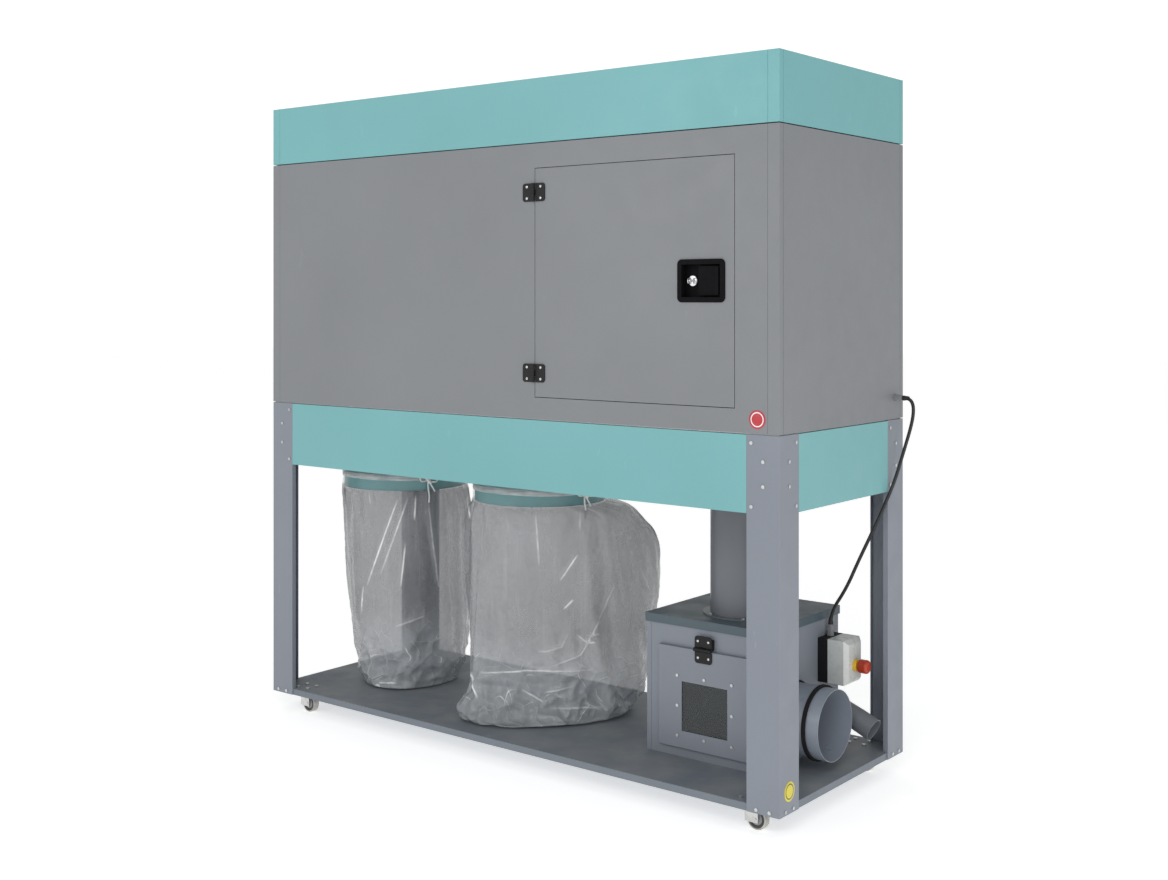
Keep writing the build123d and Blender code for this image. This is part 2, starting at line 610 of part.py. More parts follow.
with BuildPart() as door_seal:
    block(grow(OPENING_X, -1), (FRONT + DOOR_DEPTH + 0.4, FRONT + REBATE - SHEET), grow(OPENING_Z, -1))
    block(grow(OPENING_X, -13), (FRONT, FRONT + REBATE), grow(OPENING_Z, -13), Mode.SUBTRACT)
save(door_seal.part, "door_seal")

with BuildPart() as latch_cup:
    with BuildSketch(Plane.XZ.offset(-FRONT)):
        with Locations((CUP_X, CUP_Z)):
            RectangleRounded(CUP_WIDTH, CUP_HEIGHT, 14)
    extrude(amount=CUP_RIM)
    fillet(latch_cup.faces().sort_by(Axis.Y)[0].edges(), 2)
    block(grow(POCKET_X, CUP_WALL), (FRONT, FRONT + CUP_DEPTH), grow(POCKET_Z, CUP_WALL))
    guide = (CUP_X + 30, CUP_X + 60)
    bolt_z = grow((CUP_Z, CUP_Z), BOLT_HALF)
    block(guide, (FRONT + CUP_DEPTH, BOLT_Y[1] + 3), grow(bolt_z, 3))
    block(grow(guide, 5), grow(BOLT_Y, 0.3), grow(bolt_z, 0.3), Mode.SUBTRACT)
    block(POCKET_X, (FRONT - CUP_RIM - 1, FRONT + CUP_DEPTH - 3), POCKET_Z, Mode.SUBTRACT)
    bar_y(LOCK_RADIUS + 0.05, (FRONT, FRONT + CUP_DEPTH + 1), (LOCK_X, CUP_Z), Mode.SUBTRACT)
    post(3.05, (PADDLE_PIN_X, PADDLE_PIN_Y), grow(POCKET_Z, 3), Mode.SUBTRACT)
save(latch_cup.part, "latch_cup")

PADDLE_X = (PADDLE_PIN_X, POCKET_X[1] - 4)
PADDLE_Z = grow(POCKET_Z, -5)

with BuildPart() as latch_paddle:
    block(PADDLE_X, (PADDLE_PIN_Y - 5, PADDLE_PIN_Y - 1), PADDLE_Z)
    block((PADDLE_X[1] - 14, PADDLE_X[1] - 2), (FRONT - CUP_RIM + 1, PADDLE_PIN_Y - 2), grow(PADDLE_Z, -2))
    fillet(latch_paddle.edges().filter_by(Axis.Z).group_by(Axis.Y)[0], 2)
    post(5, (PADDLE_PIN_X, PADDLE_PIN_Y), PADDLE_Z)
    post(3, (PADDLE_PIN_X, PADDLE_PIN_Y), grow(POCKET_Z, 2.6))
save(latch_paddle.part, "latch_paddle")

with BuildPart() as latch_bolt:
    block(BOLT_X, BOLT_Y, (CUP_Z - BOLT_HALF, CUP_Z + BOLT_HALF))
    chamfer(latch_bolt.faces().sort_by(Axis.X)[-1].edges().filter_by(Axis.Z), 2)
save(latch_bolt.part, "latch_bolt")

with BuildPart() as lock_cylinder:
    bar_y(LOCK_RADIUS, (FRONT + 12, FRONT + CUP_DEPTH + 6), (LOCK_X, CUP_Z))
    bar_y(LOCK_RADIUS + 4, (FRONT + 14, FRONT + CUP_DEPTH - 3.3), (LOCK_X, CUP_Z))
with BuildPart() as key:
    block((LOCK_X - 1, LOCK_X + 1), (FRONT + 4, FRONT + 11.9), (CUP_Z - 3, CUP_Z + 3))
    bar_x(9.5, (LOCK_X - 1, LOCK_X + 1), (FRONT - 1, CUP_Z))
    bar_x(3, (LOCK_X - 2, LOCK_X + 2), (FRONT - 5, CUP_Z), Mode.SUBTRACT)
save(together(lock_cylinder.part, key.part), "door_lock")


# ----------------------------------------------------------------------------------------------
# Separator box on the base: walls, lid, deflector, flap door with its window
# ----------------------------------------------------------------------------------------------
WALL_TOP = LID_TOP - SHEET - 0.2
PORT_X = (490, 780)
PORT_Z = (LIFT + 63, LIFT + 326)
STUB_ANGLE = 24
STUB_Y = MID_Y + 195
STUB_START = (SEPARATOR_X[1] - 24, STUB_Y, LIFT + 185)
STUB_LENGTH = 210
STUB_RADII = (26, 33)

stub_plane = Plane(
    origin=STUB_START,
    x_dir=(0, 1, 0),
    z_dir=(cos(radians(STUB_ANGLE)), 0, -sin(radians(STUB_ANGLE))),
)


def stub_tube(shrink, mode=Mode.ADD):
    """The short slanting branch: a cone and a straight end, less a wall."""
    outline = []
    for distance, radius in ((0, STUB_RADII[0]), (STUB_LENGTH - 50, STUB_RADII[1])):
        with BuildSketch(stub_plane.offset(distance)) as ring:
            Circle(radius - shrink)
        outline.append(ring.sketch)
    loft(outline, mode=mode)
    extrude(outline[1], amount=50, mode=mode)


with BuildPart() as separator_box:
    block(SEPARATOR_X, SEPARATOR_Y, (BASE_TOP, WALL_TOP))
    for corner_x in (SEPARATOR_X[0] + 16, SEPARATOR_X[1] - 16):
        block((corner_x - 1, corner_x + 1), grow(SEPARATOR_Y, 1), (BASE_TOP, WALL_TOP), Mode.SUBTRACT)
        block((corner_x - 2, corner_x + 2), grow(SEPARATOR_Y, -0.8), (BASE_TOP, WALL_TOP))
    inside_x = grow(SEPARATOR_X, -SHEET)
    inside_y = grow(SEPARATOR_Y, -SHEET)
    block(inside_x, inside_y, (BASE_TOP + SHEET, WALL_TOP + 1), Mode.SUBTRACT)
    block(PORT_X, (SEPARATOR_Y[0] - 1, SEPARATOR_Y[0] + 5), PORT_Z, Mode.SUBTRACT)
    bar_x(DUCT_RADIUS - 0.4, (SEPARATOR_X[1] - 5, SEPARATOR_X[1] + 5), (SPIGOT_Y, SPIGOT_Z), Mode.SUBTRACT)
    stub_tube(2, Mode.SUBTRACT)
save(separator_box.part, "separator_box")

LID_X = grow(SEPARATOR_X, 4)
LID_Y = grow(SEPARATOR_Y, 4)
LID_LIP = 25

with BuildPart() as separator_lid:
    block(LID_X, LID_Y, (LID_TOP - LID_LIP, LID_TOP))
    block(grow(LID_X, -SHEET), grow(LID_Y, -SHEET), (LID_TOP - LID_LIP - 1, LID_TOP - SHEET), Mode.SUBTRACT)
    post(DUCT_RADIUS + 0.2, (DUCT_X, DUCT_Y), (LID_TOP - 5, LID_TOP + 1), Mode.SUBTRACT)
save(separator_lid.part, "separator_lid")

DEFLECTOR_TOP = (712, LIFT + 330)
DEFLECTOR_FOOT = (560, LIFT + 95)

with BuildPart() as separator_deflector:
    with BuildSketch(Plane.XZ.offset(-SEPARATOR_Y[1] + SHEET + 0.3)):
        with BuildLine():
            Polyline(
                DEFLECTOR_TOP,
                (DEFLECTOR_TOP[0] + 60, DEFLECTOR_TOP[1]),
                (DEFLECTOR_TOP[0] + 60, DEFLECTOR_TOP[1] + SHEET),
                (DEFLECTOR_TOP[0] - SHEET, DEFLECTOR_TOP[1] + SHEET),
                (DEFLECTOR_FOOT[0] - SHEET, DEFLECTOR_FOOT[1]),
                DEFLECTOR_FOOT,
                close=True,
            )
        make_face()
    extrude(amount=SEPARATOR_LENGTH - 2 * SHEET - 20)
save(separator_deflector.part, "separator_deflector")

WINDOW_X = (557, 713)
WINDOW_Z = (LIFT + 99, LIFT + 243)
FLAP_BACK = FLAP_FACE + FLAP_DEPTH

with BuildPart() as flap_door:
    block(FLAP_X, (FLAP_FACE, FLAP_BACK), FLAP_Z)
    fillet(flap_door.faces().sort_by(Axis.Y)[0].edges(), 1.5)
    block(grow(FLAP_X, -SHEET), (FLAP_FACE + SHEET, FLAP_BACK + 1), grow(FLAP_Z, -SHEET), Mode.SUBTRACT)
    block(WINDOW_X, (FLAP_FACE - 1, FLAP_BACK), WINDOW_Z, Mode.SUBTRACT)
save(flap_door.part, "flap_door")

PANE_MARGIN = 22

with BuildPart() as flap_window:
    pane_y = (FLAP_FACE + SHEET + 0.1, FLAP_FACE + SHEET + 4.1)
    block(grow(WINDOW_X, PANE_MARGIN), pane_y, grow(WINDOW_Z, PANE_MARGIN))
save(flap_window.part, "flap_window")

with BuildPart() as flap_screws:
    middle_x = sum(WINDOW_X) / 2
    middle_z = sum(WINDOW_Z) / 2
    half_x = (WINDOW_X[1] - WINDOW_X[0]) / 2 + 15
    half_z = (WINDOW_Z[1] - WINDOW_Z[0]) / 2 + 15
    for step_x in (-1, 0, 1):
        for step_z in (-1, 0, 1):
            if step_x or step_z:
                centre = (middle_x + step_x * half_x, middle_z + step_z * half_z)
                bar_y(4.5, (FLAP_FACE - 2.4, FLAP_FACE - 0.1), centre)
save(flap_screws.part, "flap_screws")


# ----------------------------------------------------------------------------------------------
# Inlet spigot and its clamps, slanting branch, and the duct up to the fan
# ----------------------------------------------------------------------------------------------
DUCT_WALL = 1.5
CLAMP_X = (SEPARATOR_X[1] + 4, SEPARATOR_X[1] + 95)
CLAMP_WIDTH = 10
NECK_RADIUS = DUCT_RADIUS - 0.6           # behind the free end that the hose goes over
FREE_END = CLAMP_X[1] + CLAMP_WIDTH + 1

with BuildPart() as inlet_spigot:
    bar_x(NECK_RADIUS, (SEPARATOR_X[1] - 4, FREE_END), (SPIGOT_Y, SPIGOT_Z))
    bar_x(DUCT_RADIUS, (FREE_END, SPIGOT_END), (SPIGOT_Y, SPIGOT_Z))
    bar_x(DUCT_RADIUS - DUCT_WALL, (SEPARATOR_X[1] - 5, SPIGOT_END + 1), (SPIGOT_Y, SPIGOT_Z), Mode.SUBTRACT)
save(inlet_spigot.part, "inlet_spigot")

with BuildPart() as spigot_clamps:
    for start in CLAMP_X:
        bar_x(DUCT_RADIUS + 6, (start, start + CLAMP_WIDTH), (SPIGOT_Y, SPIGOT_Z))
    clamps = (CLAMP_X[0] - 1, CLAMP_X[1] + CLAMP_WIDTH + 1)
    bar_x(NECK_RADIUS + 0.2, clamps, (SPIGOT_Y, SPIGOT_Z), Mode.SUBTRACT)
save(spigot_clamps.part, "spigot_clamps")

with BuildPart() as dust_stub:
    stub_tube(0)
    stub_tube(2, Mode.SUBTRACT)
    block((SEPARATOR_X[0], SEPARATOR_X[1] + 0.2), grow(SEPARATOR_Y, 5), (BASE_TOP, WALL_TOP), Mode.SUBTRACT)
save(dust_stub.part, "dust_stub")

with BuildPart() as riser_duct:
    post(DUCT_RADIUS, FAN_CENTRE, (LID_TOP - 12, FLOOR_TOP))
    post(DUCT_RADIUS + 22, FAN_CENTRE, (LID_TOP + 0.1, LID_TOP + 3))
    post(DUCT_RADIUS - DUCT_WALL, FAN_CENTRE, (LID_TOP - 13, FLOOR_TOP + 1), Mode.SUBTRACT)
save(riser_duct.part, "riser_duct")


# ----------------------------------------------------------------------------------------------
# Starter with its emergency-stop button, on the separator's right wall
# ----------------------------------------------------------------------------------------------
STARTER_Y = (MID_Y + 167, MID_Y + 265)
STARTER_Z = (LIFT + 219, LIFT + 349)
BACK_X = (SEPARATOR_X[1] + 0.3, SEPARATOR_X[1] + STARTER_BACK)
COVER_X = (BACK_X[1] + 0.1, BACK_X[1] + STARTER_COVER)
STOP_Y = sum(STARTER_Y) / 2
STOP_Z = LIFT + 273
COVER_WALL = 2.5
STOP_STEM = 8
STOP_BASE = 17
STOP_RIM = 11            # base stands out of the cover
STOP_TRAVEL = 4

with BuildPart() as starter_back:
    block(BACK_X, STARTER_Y, STARTER_Z)
    fillet(starter_back.edges().filter_by(Axis.X), 3)
    block((BACK_X[0] + 3, BACK_X[1] + 1), grow(STARTER_Y, -3), grow(STARTER_Z, -3), Mode.SUBTRACT)
save(starter_back.part, "starter_back")

with BuildPart() as starter_cover:
    block(COVER_X, STARTER_Y, STARTER_Z)
    chamfer(starter_cover.faces().sort_by(Axis.X)[-1].edges(), 12)
    fillet(starter_cover.edges().filter_by(Axis.X), 3)
    inside_y = grow(STARTER_Y, -COVER_WALL)
    inside_z = grow(STARTER_Z, -COVER_WALL)
    block((COVER_X[0] - 1, COVER_X[1] - 13), inside_y, inside_z, Mode.SUBTRACT)
    block((COVER_X[0], COVER_X[1] - COVER_WALL), grow(inside_y, -12), grow(inside_z, -12), Mode.SUBTRACT)
    bar_x(STOP_BASE + 0.3, (COVER_X[1] - 20, COVER_X[1] + 1), (STOP_Y, STOP_Z), Mode.SUBTRACT)
save(starter_cover.part, "starter_cover")

with BuildPart() as estop_base:
    bar_x(STOP_BASE, (COVER_X[1] - 30, COVER_X[1] + STOP_RIM), (STOP_Y, STOP_Z))
    chamfer(estop_base.faces().sort_by(Axis.X)[-1].edges(), 2)
    bar_x(STOP_STEM + 0.05, (COVER_X[1] - 26, COVER_X[1] + 18), (STOP_Y, STOP_Z), Mode.SUBTRACT)
save(estop_base.part, "estop_base")

MUSHROOM_X = (COVER_X[1] + STOP_RIM + STOP_TRAVEL + 1, COVER_X[1] + 45)

with BuildPart() as estop_plunger:
    bar_x(STOP_STEM, (COVER_X[1] - 18, MUSHROOM_X[0] + 9), (STOP_Y, STOP_Z))
save(estop_plunger.part, "estop_plunger")

with BuildPart() as estop_mushroom:
    bar_x(20, MUSHROOM_X, (STOP_Y, STOP_Z))
    fillet(estop_mushroom.faces().sort_by(Axis.X)[-1].edges(), 8)
    fillet(estop_mushroom.faces().sort_by(Axis.X)[0].edges(), 3)
    bar_x(STOP_STEM + 0.05, (MUSHROOM_X[0] - 1, MUSHROOM_X[0] + 9.3), (STOP_Y, STOP_Z), Mode.SUBTRACT)
save(estop_mushroom.part, "estop_mushroom")


# ----------------------------------------------------------------------------------------------
# Cable from the cabinet down to the starter, and the gland at each end
# ----------------------------------------------------------------------------------------------
GLAND_REACH = 27
STARTER_GLAND = (sum(BACK_X) / 2, STOP_Y)
STARTER_GLAND_TOP = STARTER_Z[1] + 33
CABLE_ROUTE = [
    (RIGHT + GLAND_REACH, GLAND_Y, GLAND_Z),
    (1050, GLAND_Y, GLAND_Z),
    (1063.5, 306.7, 1107.5),
    (1067, 305.8, 1080),
    (1060, 303, 1037),
    (1040, 294, 962),
    (1024, 272, 880),
    (1003, 240, 802),
    (968, 232, 723),
    (927, 227, 637),
    (890, 225, 555),
    (STARTER_GLAND[0], STARTER_GLAND[1], STARTER_GLAND_TOP + 35),
    (STARTER_GLAND[0], STARTER_GLAND[1], STARTER_GLAND_TOP),
]


def arc_radii(route):
    """The largest tangent arc at each corner: 0.45 of the shorter run over tan(half the turn)."""
    radii = []
    for before, corner, after in zip(route, route[1:], route[2:]):
        run_in = Vector(*corner) - Vector(*before)
        run_out = Vector(*after) - Vector(*corner)
        turn = radians(run_in.get_angle(run_out))
        radii.append(0.45 * min(run_in.length, run_out.length) / tan(turn / 2))
    return radii


cable_radii = arc_radii(CABLE_ROUTE)
print("cable radii", [round(r, 1) for r in cable_radii])

with BuildPart() as power_cable:
    with BuildLine() as cable_line:
        FilletPolyline(*CABLE_ROUTE, radius=cable_radii)
    start_plane = Plane(origin=cable_line.line @ 0, z_dir=cable_line.line % 0)
    with BuildSketch(start_plane):
        Circle(CABLE_DIAMETER / 2)
    sweep()
cable_length = sum(edge.length for edge in cable_line.edges())
print("cable length", round(cable_length, 1))
section = pi * CABLE_DIAMETER**2 / 4
print("cable volume over section times length", power_cable.part.volume / (section * cable_length))
save(power_cable.part, "power_cable")

with BuildPart() as side_gland:
    with BuildSketch(Plane.YZ.offset(RIGHT + 0.1)):
        with Locations((GLAND_Y, GLAND_Z)):
            RegularPolygon(11, 6)
    extrude(amount=8)
    bar_x(9, (RIGHT + 8, RIGHT + 14), (GLAND_Y, GLAND_Z))
    with BuildSketch(Plane.YZ.offset(RIGHT + 14)):
        with Locations((GLAND_Y, GLAND_Z)):
            RegularPolygon(10, 6)
    extrude(amount=9)
    bar_x(7.5, (RIGHT + 23, RIGHT + GLAND_REACH), (GLAND_Y, GLAND_Z))

with BuildPart() as starter_gland:
    with BuildSketch(Plane.XY.offset(STARTER_Z[1] + 0.1)):
        with Locations(STARTER_GLAND):
            RegularPolygon(11, 6)
    extrude(amount=9)
    post(9, STARTER_GLAND, (STARTER_Z[1] + 9, STARTER_Z[1] + 16))
    with BuildSketch(Plane.XY.offset(STARTER_Z[1] + 16)):
        with Locations(STARTER_GLAND):
            RegularPolygon(10.5, 6)
    extrude(amount=12)
    post(7.5, STARTER_GLAND, (STARTER_Z[1] + 28, STARTER_GLAND_TOP))
save(together(side_gland.part, starter_gland.part), "cable_glands")


# ----------------------------------------------------------------------------------------------
# Casters: bolted plate, swivelling fork with its axle, and wheel
# ----------------------------------------------------------------------------------------------
PLATE_BOTTOM = BASE_TOP - PLATE - 5
FORK_TOP = PLATE_BOTTOM - 0.3
BOLT_SPACING = 48

with BuildPart() as caster_plates:
    for side in (-1, 1):
        for end in (-1, 1):
            centre = (side * CASTER_X, MID_Y + end * CASTER_Y)
            plate_x = grow((centre[0], centre[0]), 36)
            plate_y = grow((centre[1], centre[1]), 32)
            block(plate_x, plate_y, (PLATE_BOTTOM, BASE_TOP - PLATE - 0.1))
            post(5.05, centre, (PLATE_BOTTOM - 1, BASE_TOP), Mode.SUBTRACT)
save(caster_plates.part, "caster_plates")


def caster(label, side, end):
    """One swivelling caster; the wheel trails behind the kingpin."""
    pin = (side * CASTER_X, MID_Y + end * CASTER_Y)
    axle_x = pin[0] + CASTER_TRAIL
    with BuildPart() as fork:
        post(22, pin, (FORK_TOP - 5, FORK_TOP))
        post(5, pin, (FORK_TOP - 1, BASE_TOP - PLATE - 0.6))
        middle = (pin[1], pin[1])
        wheel_room = (0, 2 * WHEEL_RADIUS + 2)
        block((pin[0] - 14, axle_x + 9), grow(middle, 17), (WHEEL_RADIUS - 9, FORK_TOP - 4))
        block((pin[0] - 20, axle_x + 20), grow(middle, 13), wheel_room, Mode.SUBTRACT)
        bar_y(4, grow(middle, 20), (axle_x, WHEEL_RADIUS), Mode.SUBTRACT)
    with BuildPart() as axle:
        bar_y(4, grow((pin[1], pin[1]), 19), (axle_x, WHEEL_RADIUS))
    save(together(fork.part, axle.part), f"caster_fork_{label}")
    with BuildPart() as wheel:
        bar_y(WHEEL_RADIUS, grow((pin[1], pin[1]), 11), (axle_x, WHEEL_RADIUS))
        fillet(wheel.edges().filter_by(GeomType.CIRCLE), 3)
        bar_y(19, (pin[1] - 12, pin[1] - 9), (axle_x, WHEEL_RADIUS), Mode.SUBTRACT)
        bar_y(19, (pin[1] + 9, pin[1] + 12), (axle_x, WHEEL_RADIUS), Mode.SUBTRACT)
        bar_y(8, grow((pin[1], pin[1]), 12.5), (axle_x, WHEEL_RADIUS))
        bar_y(4.05, grow((pin[1], pin[1]), 14), (axle_x, WHEEL_RADIUS), Mode.SUBTRACT)
    save(wheel.part, f"caster_wheel_{label}")


for end_name, end in (("front", -1), ("rear", 1)):
    for side_name, side in (("left", -1), ("right", 1)):
        caster(f"{end_name}_{side_name}", side, end)


# ----------------------------------------------------------------------------------------------
# Screws and bolts of the frame, one group
# ----------------------------------------------------------------------------------------------
# distance from the corner and height above the frame's underside, on every leg flange
LEG_SCREWS = ((85, 971), (49, 923), (49, 858), (85, 803), (30, 10), (70, 10))
SCREW_RADIUS = 5

with BuildPart() as frame_screws:
    for side in (-1, 1):
        for end in (-1, 1):
            corner_x = side * LENGTH / 2
            corner_y = MID_Y + end * WIDTH / 2
            for inset, height in LEG_SCREWS:
                z = LIFT + height
                bar_y(SCREW_RADIUS, (corner_y, corner_y + end * SCREW_PROUD), (corner_x - side * inset, z))
                bar_x(SCREW_RADIUS, (corner_x, corner_x + side * SCREW_PROUD), (corner_y - end * inset, z))
            with Locations((side * CASTER_X, MID_Y + end * CASTER_Y, BASE_TOP + 1.6)):
                with GridLocations(BOLT_SPACING, BOLT_SPACING - 8, 2, 2):
                    Cylinder(6.5, 3)
    with Locations((DUCT_X, DUCT_Y, LID_TOP + 4.6)):
        with PolarLocations(DUCT_RADIUS + 11, 6):
            Cylinder(5, 3)
save(frame_screws.part, "frame_screws")
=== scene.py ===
import math

import bmesh
import bpy
import numpy as np
from mathutils import Matrix, Vector, noise


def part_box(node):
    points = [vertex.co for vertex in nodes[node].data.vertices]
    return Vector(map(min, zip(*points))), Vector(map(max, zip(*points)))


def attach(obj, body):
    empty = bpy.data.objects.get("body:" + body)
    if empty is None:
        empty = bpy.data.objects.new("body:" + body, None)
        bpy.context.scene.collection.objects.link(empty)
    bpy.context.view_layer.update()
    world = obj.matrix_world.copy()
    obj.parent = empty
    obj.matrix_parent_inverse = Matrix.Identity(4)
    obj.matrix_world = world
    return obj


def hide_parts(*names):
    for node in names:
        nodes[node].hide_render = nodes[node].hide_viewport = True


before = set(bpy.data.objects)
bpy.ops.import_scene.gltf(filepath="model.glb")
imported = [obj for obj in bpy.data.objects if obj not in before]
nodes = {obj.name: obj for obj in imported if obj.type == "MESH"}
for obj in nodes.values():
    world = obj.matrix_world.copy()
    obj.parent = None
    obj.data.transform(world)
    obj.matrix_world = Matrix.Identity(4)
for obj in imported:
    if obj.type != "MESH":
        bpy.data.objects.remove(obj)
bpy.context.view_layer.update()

scene = bpy.context.scene

# ------------------------------------------------------------------------------------------
# Camera, light and backdrop
# ------------------------------------------------------------------------------------------
YAW = math.radians(38.24)
EYE = Vector((2.9342, -3.6205, 1.4143))

camera = bpy.data.objects.new("camera", bpy.data.cameras.new("camera"))
camera.data.sensor_width = 36.0
camera.data.lens = 44.71
camera.data.shift_y = -0.1217
camera.location = EYE
camera.rotation_euler = (math.radians(90), 0, YAW)
camera.data.clip_end = 100
scene.collection.objects.link(camera)
scene.camera = camera
scene.view_settings.view_transform = "Standard"


def grid_mesh(name, rows, closed=False):
    """A sheet through rows of points; closed joins each row's end to its start."""
    rows = np.asarray(rows, float)
    n_rows, n = rows.shape[:2]
    mesh = bpy.data.meshes.new(name)
    step = n if closed else n - 1
    faces = [
        (r * n + c, r * n + (c + 1) % n, (r + 1) * n + (c + 1) % n, (r + 1) * n + c)
        for r in range(n_rows - 1)
        for c in range(step)
    ]
    mesh.from_pydata(rows.reshape(-1, 3).tolist(), [], faces)
    return mesh


def add(name, mesh):
    thing = bpy.data.objects.new(name, mesh)
    scene.collection.objects.link(thing)
    return thing


def smooth(thing, angle=None):
    """Shade smooth, with sharp edges above an angle in degrees where one is given."""
    for polygon in thing.data.polygons:
        polygon.use_smooth = True
    if angle is not None:
        work = bmesh.new()
        work.from_mesh(thing.data)
        for edge in work.edges:
            if len(edge.link_faces) == 2 and edge.calc_face_angle(0) > math.radians(angle):
                edge.smooth = False
        work.to_mesh(thing.data)
        work.free()
    return thing


def area_light(name, place, aim, size, watts, colour=(1, 1, 1)):
    light = bpy.data.objects.new(name, bpy.data.lights.new(name, "AREA"))
    light.data.shape = "RECTANGLE"
    light.data.size, light.data.size_y = size
    light.data.energy = watts
    light.data.color = colour
    light.location = place
    light.rotation_euler = (Vector(aim) - Vector(place)).to_track_quat("-Z", "Y").to_euler()
    scene.collection.objects.link(light)
    return light


area_light("key_light", (3.0, -4.2, 3.3), (0.6, 0, 1.2), (2.4, 1.8), 55)
area_light("fill_light", (-3.2, -5.0, 2.6), (-0.3, 0, 0.9), (2.6, 2.6), 17)
area_light("side_light", (5.0, -1.3, 1.0), (0.8, 0, 0.3), (1.6, 1.6), 24)
area_light("strip_light", (-1.2, -4.2, 2.2), (-0.3, 0, 0.4), (0.25, 2.0), 16)

world = bpy.data.worlds.new("studio")
world.use_nodes = True
sky = world.node_tree.nodes["Background"]
sky.inputs["Color"].default_value = (1, 1, 1, 1)
seen = world.node_tree.nodes.new("ShaderNodeLightPath")
strength = world.node_tree.nodes.new("ShaderNodeMapRange")
strength.inputs["To Min"].default_value = 0.52
strength.inputs["To Max"].default_value = 1.1
world.node_tree.links.new(seen.outputs["Is Camera Ray"], strength.inputs["Value"])
world.node_tree.links.new(strength.outputs["Result"], sky.inputs["Strength"])
scene.world = world


# ------------------------------------------------------------------------------------------
# Materials: each is a Principled shader fed by layers of noise in the piece's own metres
# ------------------------------------------------------------------------------------------
class Look:
    def __init__(self, name, colour, roughness, metallic=0.0):
        self.material = bpy.data.materials.new(name)
        self.material.use_nodes = True
        self.tree = self.material.node_tree
        self.shader = self.tree.nodes["Principled BSDF"]
        self.shader.inputs["Metallic"].default_value = metallic
        self.place = self.add("ShaderNodeTexCoord").outputs["Object"]
        self.colour = (*colour, 1)
        self.roughness = roughness
        self.normal = None

    def add(self, kind, **settings):
        node = self.tree.nodes.new(kind)
        for key, value in settings.items():
            setattr(node, key, value)
        return node

    def link(self, source, target):
        self.tree.links.new(source, target)

    def put(self, value, socket):
        """A socket is linked, and anything else is set as the value."""
        if isinstance(value, bpy.types.NodeSocket):
            self.link(value, socket)
        else:
            socket.default_value = value

    def noise(self, scale, detail=3.0, stretch=None, seed=0.0):
        mapping = self.add("ShaderNodeMapping")
        mapping.inputs["Scale"].default_value = stretch or (1, 1, 1)
        mapping.inputs["Location"].default_value = (seed, seed * 0.7, seed * 1.3)
        self.link(self.place, mapping.inputs["Vector"])
        node = self.add("ShaderNodeTexNoise")
        node.inputs["Scale"].default_value = scale
        node.inputs["Detail"].default_value = detail
        self.link(mapping.outputs[0], node.inputs["Vector"])
        return node.outputs["Fac"]

    def cells(self, scale, output="Distance"):
        node = self.add("ShaderNodeTexVoronoi")
        node.inputs["Scale"].default_value = scale
        self.link(self.place, node.inputs["Vector"])
        return node.outputs[output]

    def span(self, value, low, high, to_low=0.0, to_high=1.0):
        node = self.add("ShaderNodeMapRange")
        self.link(value, node.inputs["Value"])
        for key, number in zip(("From Min", "From Max", "To Min", "To Max"), (low, high, to_low, to_high)):
            node.inputs[key].default_value = number
        return node.outputs["Result"]

    def math(self, operation, a, b=0.0):
        node = self.add("ShaderNodeMath", operation=operation)
        self.put(a, node.inputs[0])
        self.put(b, node.inputs[1])
        return node.outputs[0]

    def mix(self, share, a, b):
        node = self.add("ShaderNodeMix", data_type="RGBA")
        self.put(share, node.inputs["Factor"])
        self.put(a, node.inputs[6])
        self.put(b, node.inputs[7])
        return node.outputs[2]

    def axis(self, which, source=None):
        node = self.add("ShaderNodeSeparateXYZ")
        self.link(source or self.place, node.inputs[0])
        return node.outputs[which]

    def tint(self, factor):
        return (*[min(1, c * factor) for c in self.colour[:3]], 1)

    def bump(self, height, depth, strength=0.5):
        node = self.add("ShaderNodeBump")
        node.inputs["Strength"].default_value = strength
        node.inputs["Distance"].default_value = depth
        self.link(height, node.inputs["Height"])
        if self.normal:
            self.link(self.normal, node.inputs["Normal"])
        self.normal = node.outputs["Normal"]

    def done(self, colour=None, roughness=None, alpha=None):
        self.put(colour or self.colour, self.shader.inputs["Base Color"])
        self.put(self.roughness if roughness is None else roughness, self.shader.inputs["Roughness"])
        if alpha is not None:
            self.put(alpha, self.shader.inputs["Alpha"])
        if self.normal:
            self.link(self.normal, self.shader.inputs["Normal"])
        return self.material


def painted(name, colour, roughness=0.42, grain=0.5, dust=0.0, marks=0.25, waves=0.0, gloss=0.5):
    """Powder coat: fine peel, slight unevenness, small scuffs, and dust where it faces up."""
    look = Look(name, colour, roughness)
    look.shader.inputs["Specular IOR Level"].default_value = gloss
    broad = look.span(look.noise(1.6, 2), 0.3, 0.7)
    shade = look.mix(broad, look.tint(0.955), look.tint(1.045))
    speckle = look.span(look.noise(420, 2, seed=3), 0.35, 0.65)
    shade = look.mix(look.math("MULTIPLY", speckle, 0.12), shade, look.tint(0.82))
    scuff = look.span(look.noise(38, 6, (1, 1, 0.35), seed=5), 0.69, 0.74)
    patch = look.span(look.noise(3.2, 2, seed=11), 0.5, 0.66)
    scuff = look.math("MULTIPLY", look.math("MULTIPLY", scuff, patch), marks)
    shade = look.mix(scuff, shade, look.tint(1.5))
    if dust:
        normal = look.axis(2, look.add("ShaderNodeNewGeometry").outputs["Normal"])
        upward = look.span(normal, 0.6, 0.95)
        film = look.span(look.noise(9, 7, seed=8), 0.38, 0.72)
        film = look.math("MULTIPLY", look.math("MULTIPLY", film, upward), dust)
        shade = look.mix(film, shade, (0.36, 0.35, 0.33, 1))
    rough = look.span(look.noise(14, 5, seed=2), 0.3, 0.7, roughness - 0.07, roughness + 0.09)
    if waves:
        look.bump(look.noise(4.5, 1, seed=6), 0.004, waves)
    look.bump(look.noise(520, 2, seed=1), 0.0003, grain)
    return look.done(shade, rough)


